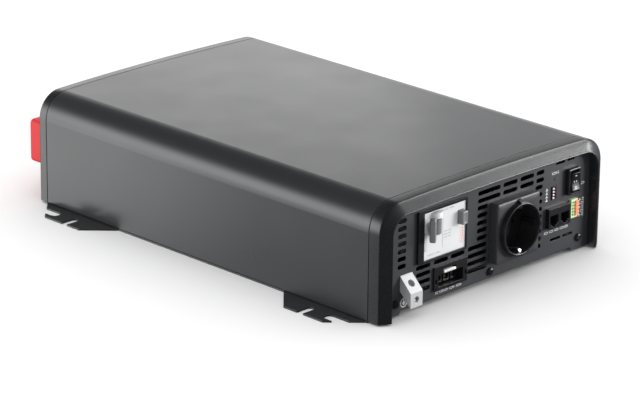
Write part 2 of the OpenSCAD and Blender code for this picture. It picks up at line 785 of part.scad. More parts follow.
base_plate();
cover();
front_bezel();
rear_bezel();
front_panel();
rear_panel();
socket_body();
socket_contacts();
breaker_frame();
breaker_body();
breaker_lever();
breaker_test_button();
ac_outlet_housing();
ac_outlet_contacts();
ac_outlet_latch();
earth_lug();
earth_lug_screw();
power_rocker_bezel();
power_rocker();
dip_switch_body();
dip_lever(1);  // dip_lever_1
dip_lever(2);  // dip_lever_2
dip_lever(3);  // dip_lever_3
dip_lever(4);  // dip_lever_4
data_jack_block();
data_jack_contacts();
terminal_plug_header();
terminal_lever(1);  // terminal_lever_1
terminal_lever(2);  // terminal_lever_2
terminal_lever(3);  // terminal_lever_3
terminal_lever(4);  // terminal_lever_4
terminal_lever(5);  // terminal_lever_5
status_led();
front_screws();
rear_screws();
fan_frame(fan_x[0]);  // fan_frame_left
fan_frame(fan_x[1]);  // fan_frame_right
fan_rotor(fan_x[0]);  // fan_rotor_left
fan_rotor(fan_x[1]);  // fan_rotor_right
fan_guards();
dc_terminal_base();
dc_studs();
dc_nuts();
dc_busbars();
terminal_cover_positive();
terminal_cover_negative();
main_board();
control_board();
board_standoffs();
insulation_sheet();
heatsink(-1);  // heatsink_left
heatsink(1);  // heatsink_right
power_transistors();
transformer(-30);  // transformer_1
transformer(35);  // transformer_2
output_choke();
bus_capacitors();
input_capacitors();
output_relay();
input_fuses();
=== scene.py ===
"""Looks for a mobile power inverter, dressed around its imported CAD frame."""

import json
import logging
import math
from dataclasses import dataclass
from enum import Enum
from typing import Callable, Sequence

import bmesh
import bpy
from mathutils import Matrix, Vector


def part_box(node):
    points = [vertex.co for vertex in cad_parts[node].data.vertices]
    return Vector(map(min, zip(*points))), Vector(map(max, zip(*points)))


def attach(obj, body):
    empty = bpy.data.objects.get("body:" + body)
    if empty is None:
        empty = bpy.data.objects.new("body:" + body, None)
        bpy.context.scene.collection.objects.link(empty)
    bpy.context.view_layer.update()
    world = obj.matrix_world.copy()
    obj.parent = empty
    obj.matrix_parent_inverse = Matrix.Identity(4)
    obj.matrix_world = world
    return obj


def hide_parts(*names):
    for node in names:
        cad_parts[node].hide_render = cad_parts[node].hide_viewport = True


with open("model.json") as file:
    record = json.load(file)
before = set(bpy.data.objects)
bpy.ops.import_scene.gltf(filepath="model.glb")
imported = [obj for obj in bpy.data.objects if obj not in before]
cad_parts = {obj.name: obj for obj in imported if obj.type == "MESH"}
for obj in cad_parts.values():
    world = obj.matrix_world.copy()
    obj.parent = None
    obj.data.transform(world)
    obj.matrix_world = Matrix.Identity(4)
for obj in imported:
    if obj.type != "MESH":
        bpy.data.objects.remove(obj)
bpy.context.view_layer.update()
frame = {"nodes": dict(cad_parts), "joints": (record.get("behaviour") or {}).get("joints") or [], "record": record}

LOG = logging.getLogger("inverter")
MM = 0.001
CHASSIS = "chassis"
Colour = tuple[float, float, float]
Point = tuple[float, float]


# ---- finishes ----


class Grain(Enum):
    """The small-scale texture of a finish."""

    POWDER = "powder coat, a fine orange peel"
    SATIN = "moulded plastic with a faint spark-eroded grain"
    BRUSHED = "metal drawn in one direction"
    CAST = "rough cast or sawn metal"
    WOVEN = "woven or wound surface"
    CLEAR = "clear plastic"


@dataclass(frozen=True)
class Finish:
    """One procedural material.

    Args:
        slot: the record's material slot.
        colour: main colour, linear RGB.
        rough: mean roughness.
        metal: metallic share.
        grain: small-scale texture.
        cell: size of the grain, in millimetres.
        relief: depth of the grain, in millimetres.
        mottle: how far the colour wanders, as a share.
        spread: how far the roughness wanders.
        wear: how strongly edges are rubbed pale.
        worn: colour of the rubbed edges.
        edge: radius that edges are rounded to in shading, in millimetres.
        title: name of its material, if not the slot's.
    """

    slot: str
    colour: Colour
    rough: float
    metal: float = 0.0
    grain: Grain = Grain.SATIN
    cell: float = 0.5
    relief: float = 0.02
    mottle: float = 0.05
    spread: float = 0.08
    wear: float = 0.25
    worn: Colour = (0.3, 0.3, 0.3)
    edge: float = 0.3
    title: str = ""

    def material(self, name: str | None = None) -> bpy.types.Material:
        """The finish as a node material, made once and then shared.

        Args:
            name: name of the material, if not the slot's.

        Returns:
            The material.
        """
        title = name or self.title or self.slot
        found = bpy.data.materials.get("finish_" + title)
        if found is not None:
            return found
        mat = bpy.data.materials.new("finish_" + title)
        mat.use_nodes = True
        tree = NodeTree(mat.node_tree)
        self._build(tree)
        return mat

    def _build(self, tree: "NodeTree") -> None:
        """Wires the nodes.

        Args:
            tree: the material's empty tree.
        """
        where = tree.add("ShaderNodeTexCoord").outputs["Object"]
        broad = tree.noise(where, 22.0, 3.0, 0.55)
        stretch = {Grain.BRUSHED: (1.0, 0.03, 0.03), Grain.WOVEN: (1.0, 1.0, 0.2)}
        fine_at = tree.mapped(where, stretch[self.grain]) if self.grain in stretch else where
        detail = 4.0 if self.grain in (Grain.CAST, Grain.POWDER) else 2.0
        fine = tree.noise(fine_at, 1.0 / (self.cell * MM), detail, 0.6)
        rounded = tree.add("ShaderNodeBevel")
        rounded.samples = 4
        rounded.inputs["Radius"].default_value = self.edge * MM
        low = tuple(c * (1.0 - self.mottle) for c in self.colour)
        high = tuple(min(c * (1.0 + self.mottle), 1.0) for c in self.colour)
        base = tree.mix(broad, low, high)
        if self.wear > 0:
            base = tree.mix(self._edge_mask(tree, rounded, broad), base, self.worn)
        shader = tree.add("ShaderNodeBsdfPrincipled")
        tree.link(base, shader.inputs["Base Color"])
        both = tree.maths("ADD", broad, fine)
        tree.link(
            tree.spread(both, 0.5, 1.5, self.rough - self.spread, self.rough + self.spread),
            shader.inputs["Roughness"],
        )
        shader.inputs["Metallic"].default_value = self.metal
        if self.grain is Grain.CLEAR:
            shader.inputs["Transmission Weight"].default_value = 0.55
        bump = tree.add("ShaderNodeBump")
        bump.inputs["Strength"].default_value = 0.6
        bump.inputs["Distance"].default_value = self.relief * MM
        tree.link(fine, bump.inputs["Height"])
        tree.link(rounded.outputs["Normal"], bump.inputs["Normal"])
        tree.link(bump.outputs["Normal"], shader.inputs["Normal"])
        out = tree.add("ShaderNodeOutputMaterial")
        tree.link(shader.outputs["BSDF"], out.inputs["Surface"])

    def _edge_mask(
        self,
        tree: "NodeTree",
        rounded: bpy.types.Node,
        broad: bpy.types.NodeSocket,
    ) -> bpy.types.NodeSocket:
        """Where the rounded normal leaves the true one, broken up by the broad noise.

        Args:
            tree: the tree.
            rounded: the bevel node.
            broad: the broad noise.

        Returns:
            A mask from 0 to 1.
        """
        true = tree.add("ShaderNodeNewGeometry").outputs["True Normal"]
        dot = tree.add("ShaderNodeVectorMath")
        dot.operation = "DOT_PRODUCT"
        tree.link(rounded.outputs["Normal"], dot.inputs[0])
        tree.link(true, dot.inputs[1])
        bent = tree.spread(dot.outputs["Value"], 0.98, 0.75, 0.0, self.wear)
        return tree.maths("MULTIPLY", bent, tree.spread(broad, 0.35, 0.65, 0.5, 1.0))


class NodeTree:
    """A thin wrapper that keeps the wiring of a material short."""

    def __init__(self, tree: bpy.types.NodeTree) -> None:
        """Empties the tree."""
        self.tree = tree
        self.tree.nodes.clear()

    def add(self, kind: str) -> bpy.types.Node:
        """A new node of that kind."""
        return self.tree.nodes.new(kind)

    def link(self, a: bpy.types.NodeSocket, b: bpy.types.NodeSocket) -> None:
        """Joins output a to input b."""
        self.tree.links.new(a, b)

    def put(self, value: object, socket: bpy.types.NodeSocket) -> None:
        """Links a socket, or sets a number or a colour, on an input.

        Args:
            value: a socket, a number or a colour.
            socket: the input.
        """
        if isinstance(value, bpy.types.NodeSocket):
            self.link(value, socket)
        elif isinstance(value, tuple):
            socket.default_value = (*value, 1.0)
        else:
            socket.default_value = value

    def mapped(self, where: bpy.types.NodeSocket, scale: Colour) -> bpy.types.NodeSocket:
        """Coordinates stretched along each axis.

        Args:
            where: the coordinates.
            scale: the factor along each axis.

        Returns:
            The stretched coordinates.
        """
        node = self.add("ShaderNodeMapping")
        node.inputs["Scale"].default_value = scale
        self.link(where, node.inputs["Vector"])
        return node.outputs["Vector"]

    def noise(
        self, where: bpy.types.NodeSocket, scale: float, detail: float, rough: float
    ) -> bpy.types.NodeSocket:
        """A noise value.

        Args:
            where: coordinates.
            scale: cells per metre.
            detail: octaves.
            rough: share of each finer octave.

        Returns:
            The noise's value.
        """
        node = self.add("ShaderNodeTexNoise")
        node.inputs["Scale"].default_value = scale
        node.inputs["Detail"].default_value = detail
        node.inputs["Roughness"].default_value = rough
        self.link(where, node.inputs["Vector"])
        return node.outputs["Fac"]

    def maths(self, kind: str, a: object, b: object) -> bpy.types.NodeSocket:
        """The result of a two-input sum.

        Args:
            kind: the operation.
            a: first number or socket.
            b: second number or socket.

        Returns:
            The result.
        """
        node = self.add("ShaderNodeMath")
        node.operation = kind
        self.put(a, node.inputs[0])
        self.put(b, node.inputs[1])
        return node.outputs[0]

    def spread(
        self, value: bpy.types.NodeSocket, a0: float, a1: float, b0: float, b1: float
    ) -> bpy.types.NodeSocket:
        """Maps a0..a1 onto b0..b1, clamped.

        Args:
            value: what is mapped.
            a0: lower end before.
            a1: upper end before.
            b0: lower end after.
            b1: upper end after.

        Returns:
            The mapped value.
        """
        node = self.add("ShaderNodeMapRange")
        self.link(value, node.inputs["Value"])
        for key, number in zip(("From Min", "From Max", "To Min", "To Max"), (a0, a1, b0, b1)):
            node.inputs[key].default_value = number
        return node.outputs["Result"]

    def mix(self, factor: object, a: object, b: object) -> bpy.types.NodeSocket:
        """A colour between a and b.

        Args:
            factor: 0 for a and 1 for b.
            a: first colour.
            b: second colour.

        Returns:
            The mixed colour.
        """
        node = self.add("ShaderNodeMix")
        node.data_type = "RGBA"
        self.put(factor, node.inputs[0])
        self.put(a, node.inputs[6])
        self.put(b, node.inputs[7])
        return node.outputs[2]


GREY_EDGE = (0.09, 0.092, 0.096)
FINISHES: dict[str, Finish] = {
    f.slot: f
    for f in (
        Finish("powder_coat_steel", (0.018, 0.0195, 0.022), 0.3, grain=Grain.POWDER, cell=0.7,
               relief=0.012, mottle=0.03, spread=0.04, wear=0.15, worn=GREY_EDGE, edge=0.4),
        Finish("bezel_plastic", (0.009, 0.0097, 0.011), 0.28, cell=0.35, relief=0.01, mottle=0.04,
               spread=0.05, wear=0.2, worn=GREY_EDGE, edge=0.35),
        Finish("panel_steel", (0.022, 0.023, 0.027), 0.42, grain=Grain.POWDER, cell=0.5,
               relief=0.02, wear=0.3, worn=GREY_EDGE, edge=0.25),
        Finish("black_steel", (0.02, 0.021, 0.023), 0.45, grain=Grain.POWDER, cell=0.6,
               relief=0.02, wear=0.5, worn=(0.2, 0.205, 0.21), edge=0.4),
        Finish("black_plastic", (0.005, 0.005, 0.006), 0.3, wear=0.25, worn=(0.07, 0.07, 0.075)),
        Finish("light_plastic", (0.45, 0.455, 0.46), 0.5, wear=0.1, worn=(0.9, 0.9, 0.9)),
        Finish("grey_plastic", (0.12, 0.125, 0.13), 0.36, wear=0.2, worn=(0.5, 0.52, 0.54)),
        Finish("white_plastic", (0.6, 0.6, 0.585), 0.4, wear=0.1, worn=(0.9, 0.9, 0.88)),
        Finish("red_plastic", (0.62, 0.003, 0.006), 0.6, mottle=0.04, wear=0.15,
               worn=(0.95, 0.2, 0.18), edge=0.5),
        Finish("dip_red", (0.03, 0.006, 0.012), 0.35, wear=0.2, worn=(0.2, 0.05, 0.07)),
        Finish("green_plastic", (0.37, 0.54, 0.27), 0.42, wear=0.15, worn=(0.6, 0.75, 0.5)),
        Finish("orange_plastic", (0.78, 0.2, 0.09), 0.4, wear=0.15, worn=(0.95, 0.45, 0.25)),
        Finish("led_lens", (0.05, 0.06, 0.05), 0.15, grain=Grain.CLEAR, relief=0.002, wear=0.0),
        Finish("lug_aluminium", (0.4, 0.405, 0.41), 0.5, 0.25, Grain.CAST, 0.3, 0.03,
               wear=0.4, worn=(0.95, 0.95, 0.95), edge=0.35),
        Finish("plated_steel", (0.6, 0.61, 0.62), 0.3, 1.0, Grain.BRUSHED, 0.3, 0.01,
               wear=0.3, worn=(0.9, 0.9, 0.9)),
        Finish("spring_steel", (0.62, 0.62, 0.6), 0.26, 1.0, Grain.BRUSHED, 0.3, 0.008,
               wear=0.3, worn=(0.9, 0.9, 0.88)),
        Finish("brass_contact", (0.3, 0.21, 0.1), 0.35, 1.0, Grain.BRUSHED, 0.25, 0.008,
               wear=0.3, worn=(0.9, 0.75, 0.45)),
        Finish("copper_bar", (0.7, 0.33, 0.18), 0.34, 1.0, Grain.BRUSHED, 0.5, 0.012,
               wear=0.3, worn=(0.9, 0.55, 0.38)),
        Finish("black_screw", (0.02, 0.02, 0.022), 0.32, 0.6, Grain.CAST, 0.25, 0.01,
               wear=0.7, worn=(0.4, 0.4, 0.4), edge=0.2),
        Finish("circuit_board", (0.004, 0.03, 0.014), 0.4, cell=1.6, relief=0.02, mottle=0.25,
               wear=0.3, worn=(0.4, 0.4, 0.2)),
        Finish("insulator", (0.05, 0.048, 0.04), 0.5, cell=0.8, mottle=0.08),
        Finish("heatsink_aluminium", (0.62, 0.63, 0.64), 0.38, 0.95, Grain.BRUSHED, 0.4, 0.02,
               wear=0.4, worn=(0.9, 0.9, 0.9)),
        Finish("ferrite", (0.045, 0.043, 0.045), 0.6, grain=Grain.CAST, cell=0.6, relief=0.05,
               mottle=0.15),
        Finish("copper_winding", (0.6, 0.24, 0.1), 0.35, 0.8, Grain.WOVEN, 0.8, 0.15,
               mottle=0.15),
        Finish("capacitor_sleeve", (0.012, 0.03, 0.1), 0.3, mottle=0.1, worn=(0.5, 0.5, 0.6)),
        Finish("fuse_plastic", (0.1, 0.28, 0.75), 0.25, mottle=0.1, worn=(0.5, 0.6, 0.9)),
    )
}
INK = Finish("white_plastic", (0.62, 0.625, 0.63), 0.55, title="ink", cell=0.2, relief=0.004,
             wear=0.0)
FLANGE = Finish("black_plastic", (0.024, 0.0235, 0.028), 0.42, title="flange", wear=0.25,
                worn=(0.09, 0.09, 0.1))
FLOOR = Finish("floor", (0.97, 0.97, 0.97), 0.8, cell=9.0, relief=0.01, mottle=0.004, wear=0.0)


# ---- mesh making ----


class Shape:
    """A mesh under construction. Its numbers are in millimetres until it is placed."""

    def __init__(self) -> None:
        """Starts with nothing."""
        self.bm = bmesh.new()

    def add(self, points: Sequence[Vector], faces: Sequence[Sequence[int]]) -> list:
        """Adds points and faces.

        Args:
            points: corner positions.
            faces: corner numbers of each face.

        Returns:
            The new corners.
        """
        made = [self.bm.verts.new(p) for p in points]
        for face in faces:
            self.bm.faces.new([made[i] for i in face])
        return made

    def soften(self, corners: Sequence, width: float, segments: int, angle: float = 25.0) -> None:
        """Rounds the sharp edges among those corners.

        Args:
            corners: the corners whose edges may be rounded.
            width: how far the rounding reaches.
            segments: steps of the rounding.
            angle: least angle, in degrees, of an edge that counts as sharp.
        """
        self.bm.normal_update()
        mine = set(corners)
        edges = [
            e
            for e in self.bm.edges
            if e.verts[0] in mine and e.verts[1] in mine and e.is_manifold
            and e.calc_face_angle(0.0) > math.radians(angle)
        ]
        bmesh.ops.bevel(
            self.bm, geom=edges, offset=width, segments=segments, profile=0.5,
            affect="EDGES", clamp_overlap=True,
        )

    def block(self, low: Sequence[float], high: Sequence[float], soft: float = 0.0) -> "Shape":
        """A box between two corners, its edges rounded."""
        flat = [(low[0], low[2]), (high[0], low[2]), (high[0], high[2]), (low[0], high[2])]
        return self.prism(flat, low[1], high[1], soft)

    def prism(
        self, flat: Sequence[Point], y0: float, y1: float, soft: float = 0.0,
        place: Callable[[float, float, float], Vector] | None = None, steps: int = 3,
    ) -> "Shape":
        """A flat outline made solid.

        Args:
            flat: the outline's points.
            y0: where it starts.
            y1: where it ends.
            soft: rounding of its sharp edges.
            place: maps (u, v, w) to a point; (x, y, z) = (u, w, v) if not given.
            steps: steps of the rounding.

        Returns:
            The shape itself.
        """
        put = place or (lambda u, v, w: Vector((u, w, v)))
        n = len(flat)
        points = [put(u, v, w) for w in (y0, y1) for u, v in flat]
        faces = [list(range(n)), list(range(2 * n - 1, n - 1, -1))]
        faces += [[i, n + i, n + (i + 1) % n, (i + 1) % n] for i in range(n)]
        made = self.add(points, faces)
        if soft > 0:
            self.soften(made, soft, steps)
        return self

    def rings(self, rings: Sequence[Sequence[Vector]], capped: bool = True) -> "Shape":
        """Skins a row of closed rings that have equal numbers of points.

        Args:
            rings: the rings, in order.
            capped: whether the first and the last are closed with a face.

        Returns:
            The shape itself.
        """
        n = len(rings[0])
        made = self.add([p for ring in rings for p in ring], [])
        for k in range(len(rings) - 1):
            for i in range(n):
                j = (i + 1) % n
                quad = [k * n + i, k * n + j, (k + 1) * n + j, (k + 1) * n + i]
                self.bm.faces.new([made[q] for q in quad])
        if capped:
            self.bm.faces.new(made[:n][::-1])
            self.bm.faces.new(made[-n:])
        return self

    def lathe(
        self, profile: Sequence[Point], centre: Sequence[float], steps: int = 64
    ) -> "Shape":
        """Turns a profile of (radius, y) about an axis along Y.

        Args:
            profile: from one end of the axis to the other; a radius of 0 closes an end.
            centre: a point of the axis, whose y is added to the profile's.
            steps: steps round the axis.

        Returns:
            The shape itself.
        """
        cx, cy, cz = centre
        loops = []
        for r, y in profile:
            if r <= 0:
                loops.append([self.bm.verts.new((cx, cy + y, cz))])
                continue
            turn = [2 * math.pi * k / steps for k in range(steps)]
            loops.append(
                [self.bm.verts.new((cx + r * math.cos(t), cy + y, cz + r * math.sin(t)))
                 for t in turn]
            )
        for a, b in zip(loops, loops[1:]):
            for i in range(steps):
                j = (i + 1) % steps
                ring = [a[i % len(a)], a[j % len(a)], b[j % len(b)], b[i % len(b)]]
                face = list(dict.fromkeys(ring))
                if len(face) > 2:
                    self.bm.faces.new(face)
        return self

    def torus(self, centre: Sequence[float], big: float, small: float, steps: int = 72) -> "Shape":
        """A ring of round wire in the plane across Y.

        Args:
            centre: its middle.
            big: radius of the ring.
            small: radius of the wire.
            steps: steps round the ring.

        Returns:
            The shape itself.
        """
        profile = []
        for k in range(13):
            t = 2 * math.pi * k / 12
            profile.append((big + small * math.cos(t), small * math.sin(t)))
        return self.lathe(profile, centre, steps)

    def carve(self, *tools: "Shape") -> "Shape":
        """Cuts other shapes out of this one.

        Args:
            tools: the shapes to take away; they are used up.

        Returns:
            The shape itself.
        """
        body = self._temporary("carve_body")
        for tool in tools:
            other = tool._temporary("carve_tool")
            cut = body.modifiers.new("cut", "BOOLEAN")
            cut.operation = "DIFFERENCE"
            cut.solver = "EXACT"
            cut.object = other
            bpy.context.view_layer.update()
            seen = body.evaluated_get(bpy.context.evaluated_depsgraph_get())
            mesh = bpy.data.meshes.new_from_object(seen)
            body.modifiers.clear()
            body.data = mesh
            bpy.data.objects.remove(other)
        self.bm = bmesh.new()
        self.bm.from_mesh(body.data)
        bpy.data.objects.remove(body)
        return self

    def _temporary(self, name: str) -> bpy.types.Object:
        """The shape as a short-lived object.

        Args:
            name: its name.

        Returns:
            The object.
        """
        bmesh.ops.remove_doubles(self.bm, verts=self.bm.verts, dist=1e-5)
        bmesh.ops.recalc_face_normals(self.bm, faces=self.bm.faces)
        mesh = bpy.data.meshes.new(name)
        self.bm.to_mesh(mesh)
        self.bm.free()
        obj = bpy.data.objects.new(name, mesh)
        bpy.context.scene.collection.objects.link(obj)
        return obj

    def moved(self, matrix: Matrix) -> "Shape":
        """Moves everything made so far."""
        self.bm.transform(matrix)
        return self

    def copies(self, places: Sequence[Matrix]) -> "Shape":
        """Replaces the shape by a copy of it at each place.

        Args:
            places: where the copies go.

        Returns:
            The shape itself.
        """
        mesh = bpy.data.meshes.new("copy")
        self.bm.to_mesh(mesh)
        self.bm.clear()
        for matrix in places:
            part = mesh.copy()
            part.transform(matrix)
            self.bm.from_mesh(part)
            bpy.data.meshes.remove(part)
        bpy.data.meshes.remove(mesh)
        return self

    def done(
        self, name: str, finish: Finish, body: str = CHASSIS,
        replaces: Sequence[str] = (), smooth: float = 32.0,
    ) -> bpy.types.Object:
        """Turns the shape into a dressed piece that rides on a body.

        Args:
            name: the piece's name.
            finish: its finish.
            body: the CAD body it moves with.
            replaces: the CAD nodes it stands for.
            smooth: angle, in degrees, under which faces are shaded smoothly.

        Returns:
            The piece.
        """
        bmesh.ops.remove_doubles(self.bm, verts=self.bm.verts, dist=1e-5)
        bmesh.ops.recalc_face_normals(self.bm, faces=self.bm.faces)
        self.bm.transform(Matrix.Scale(MM, 4))
        mesh = bpy.data.meshes.new(name)
        self.bm.to_mesh(mesh)
        self.bm.free()
        for poly in mesh.polygons:
            poly.use_smooth = True
        mesh.set_sharp_from_angle(angle=math.radians(smooth))
        obj = bpy.data.objects.new(name, mesh)
        bpy.context.scene.collection.objects.link(obj)
        obj.data.materials.append(finish.material())
        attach(obj, body)
        if replaces:
            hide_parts(*replaces)
        LOG.info("%s: %d faces on %s", name, len(mesh.polygons), body)
        return obj


def box_mm(node: str) -> tuple[Vector, Vector]:
    """The CAD node's box, in millimetres."""
    low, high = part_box(node)
    return low / MM, high / MM


def middle(node: str) -> Vector:
    """The middle of the CAD node's box, in millimetres."""
    low, high = box_mm(node)
    return (low + high) / 2


def rounded_rect(x0: float, x1: float, z0: float, z1: float, r: float, steps: int = 6) -> list[Point]:
    """The points of a rectangle with round corners.

    Args:
        x0: left.
        x1: right.
        z0: bottom.
        z1: top.
        r: radius of the corners.
        steps: steps in each corner.

    Returns:
        The points, anticlockwise.
    """
    points = []
    corners = ((x1 - r, z1 - r, 0), (x0 + r, z1 - r, 90), (x0 + r, z0 + r, 180), (x1 - r, z0 + r, 270))
    for cx, cz, start in corners:
        for k in range(steps + 1):
            a = math.radians(start + 90 * k / steps)
            points.append((cx + r * math.cos(a), cz + r * math.sin(a)))
    return points


def bar(x0: float, x1: float, z0: float, z1: float) -> list[Point]:
    """The points of a plain rectangle."""
    return [(x0, z0), (x1, z0), (x1, z1), (x0, z1)]


@dataclass(frozen=True)
class Levels:
    """Planes that the sub-assemblies share, in millimetres, read from the CAD frame.

    Args:
        sill: the cover's lower edge.
        panel: the front panel's face.
        seam_f: the cover's front edge.
        seam_r: the cover's rear edge.
        rear: the rear panel's face.
        half: half the cover's width.
        top: the cover's crown.
    """

    sill: float
    panel: float
    seam_f: float
    seam_r: float
    rear: float
    half: float
    top: float

    @staticmethod
    def read() -> "Levels":
        """Takes the planes from the CAD nodes' boxes.

        Returns:
            The planes.
        """
        cover = box_mm("cover")
        return Levels(
            sill=cover[0].z,
            panel=box_mm("front_panel")[0].y,
            seam_f=cover[0].y,
            seam_r=cover[1].y,
            rear=box_mm("rear_panel")[1].y,
            half=cover[1].x,
            top=cover[1].z,
        )


# ---- casing ----


@dataclass
class BezelShell:
    """One end bezel: a profile swept up one side, over the crown and down the other.

    Args:
        levels: the shared planes.
        node: the CAD node that it stands for.
        stations: rows of (y, inset, corner radius) round the profile.
        crown: radius of the crown.
    """

    levels: Levels
    node: str
    stations: list[tuple[float, float, float]]
    crown: float = 3396.0

    def path(self, inset: float, corner: float, foot: float) -> list[tuple[float, float]]:
        """The outline at one inset.

        Args:
            inset: distance inside the cover's outline.
            corner: shoulder radius.
            foot: height where it starts and ends.

        Returns:
            Points from the right foot over the top to the left foot.
        """
        half = self.levels.half - inset
        crown = self.crown - inset
        base = self.levels.top - self.crown
        cx = half - corner
        cz = base + math.sqrt((crown - corner) ** 2 - cx**2)
        lean = math.asin(cx / (crown - corner))
        right = [(half, foot + (cz - foot) * k / 6) for k in range(6)]
        for k in range(25):
            a = (math.pi / 2 - lean) * k / 24
            right.append((cx + corner * math.cos(a), cz + corner * math.sin(a)))
        for k in range(1, 17):
            a = lean * (1 - k / 16)
            right.append((crown * math.sin(a), base + crown * math.cos(a)))
        return right + [(-x, z) for x, z in reversed(right[:-1])]

    def build(self) -> bpy.types.Object:
        """Makes the bezel.

        Returns:
            The finished piece.
        """
        foot = box_mm(self.node)[0].z
        rows = [self.path(inset, corner, foot) for _, inset, corner in self.stations]
        count = len(rows[0])
        rings = []
        for i in range(count):
            rings.append(
                [Vector((row[i][0], s[0], row[i][1])) for row, s in zip(rows, self.stations)]
            )
        shape = Shape().rings(rings)
        return shape.done(self.node + "_shell", FINISHES["bezel_plastic"], replaces=[self.node])


def front_stations(levels: Levels) -> list[tuple[float, float, float]]:
    """The front bezel's profile, from the seam forwards round the lip to the spigot.

    Args:
        levels: the shared planes.

    Returns:
        Rows of y, inset and corner radius.
    """
    seam, lip = levels.seam_f, box_mm("front_bezel")[0].y
    flat, width, spigot = 11.1, 9.8, 4.0
    edge = seam - flat
    run = (edge - lip, width - 1.3)
    rows = [(seam, 0.9, 21.0), (seam - 0.4, 0.9, 21.0), (seam - 0.5, 0.2, 21.7), (seam - 0.8, 0.0, 21.9)]
    # the crease between the flat and the bevel
    for t in (-0.22, -0.12, -0.04, 0.04, 0.12, 0.22):
        along = max(t, 0.0)
        sag = 0.35 * (1 - abs(t) / 0.22)
        y = edge - t * run[0] if t > 0 else edge - t * 5.0
        rows.append((y + sag * 0.4, along * run[1] + sag * 0.35, 21.9 - along * run[1]))
    # down the bevel to the rounded lip
    for t in (0.5, 0.8, 0.93):
        rows.append((edge - t * run[0], t * run[1], 21.9 - 5.5 * t))
    for k in range(7):
        a = math.pi * k / 6
        rows.append((lip + 0.75 - 0.7 * math.sin(a), width - 0.75 - 0.7 * math.cos(a), 15.2))
    rows += [(lip + 2.0, width, 14.6), (levels.panel - 0.2, width, 14.4)]
    rows += [(levels.panel - 0.2, spigot, 17.9), (seam + 5.0, spigot, 17.9)]
    rows += [(seam + 5.0, 1.8, 20.1), (seam, 1.8, 20.1)]
    return rows


def rear_stations(levels: Levels) -> list[tuple[float, float, float]]:
    """The rear bezel's profile, from the seam rearwards round the rim to the spigot.

    Args:
        levels: the shared planes.

    Returns:
        Rows of y, inset and corner radius.
    """
    seam, end = levels.seam_r, box_mm("rear_bezel")[1].y
    width, spigot = 8.0, 4.0
    rows = [(seam, 0.9, 21.0), (seam + 0.4, 0.9, 21.0), (seam + 0.5, 0.2, 21.7), (seam + 0.8, 0.0, 21.9)]
    for k in range(6):
        a = math.pi / 2 * k / 5
        rows.append((end - 1.6 + 1.6 * math.sin(a), 1.6 - 1.6 * math.cos(a), 21.9 - 1.2 * k / 5))
    for k in range(4):
        a = math.pi / 2 * k / 3
        rows.append((end - 0.8 * (1 - math.cos(a)), width - 0.8 * (1 - math.sin(a)), 15.0))
    rows += [(levels.rear + 0.2, width, 14.5), (levels.rear + 0.2, spigot, 17.9)]
    rows += [(seam - 5.0, spigot, 17.9), (seam - 5.0, 1.8, 20.1), (seam, 1.8, 20.1)]
    return rows


# ---- fasteners ----


@dataclass
class PanHeads:
    """Pan-head screws with a cross recess.

    Args:
        node: the CAD node they stand for.
        radius: radius of a head.
        height: height of a head.
        facing: -1 if the heads look towards -Y, 1 towards +Y.
    """

    node: str
    radius: float = 3.4
    height: float = 2.2
    facing: int = -1

    def places(self) -> list[Vector]:
        """Where each head's crown is, found from the CAD node's separate solids.

        Returns:
            The heads' middles.
        """
        mesh = frame["nodes"][self.node].data
        seen: list[list[Vector]] = []
        for corner in sorted((v.co / MM for v in mesh.vertices), key=lambda c: tuple(c)):
            for group in seen:
                if (Vector((corner.x, corner.z)) - Vector((group[0].x, group[0].z))).length < 9:
                    group.append(corner)
                    break
            else:
                seen.append([corner])
        tops = []
        for group in seen:
            low = [min(c[i] for c in group) for i in range(3)]
            high = [max(c[i] for c in group) for i in range(3)]
            y = low[1] if self.facing < 0 else high[1]
            tops.append(Vector(((low[0] + high[0]) / 2, y, (low[2] + high[2]) / 2)))
        return tops

    def build(self) -> bpy.types.Object:
        """Makes every screw of the node.

        Returns:
            The finished piece.
        """
        r, h = self.radius, self.height
        dome = [(0.0, 0.0), (r * 0.45, 0.06), (r * 0.75, 0.35), (r * 0.93, 0.85), (r, 1.35)]
        dome += [(r, h - 0.12), (r - 0.15, h), (1.5, h), (1.5, h + 4.6), (0.0, h + 4.6)]
        head = Shape().lathe(dome, (0, 0, 0), 40)
        cross = []
        for turn in (0.0, math.pi / 2):
            slot = Shape().prism(bar(-1.75, 1.75, -0.38, 0.38), -0.5, 1.25)
            cross.append(slot.moved(Matrix.Rotation(turn + 0.35, 4, "Y")))
        head.carve(*cross)
        mats = []
        for n, top in enumerate(self.places()):
            turn = Matrix.Rotation(0.7 * n, 4, "Y")
            flip = Matrix.Identity(4) if self.facing < 0 else Matrix.Rotation(math.pi, 4, "Z")
            mats.append(Matrix.Translation(top) @ flip @ turn)
        head.copies(mats)
        return head.done(self.node + "_heads", FINISHES["black_screw"], replaces=[self.node])


# ---- mains socket ----


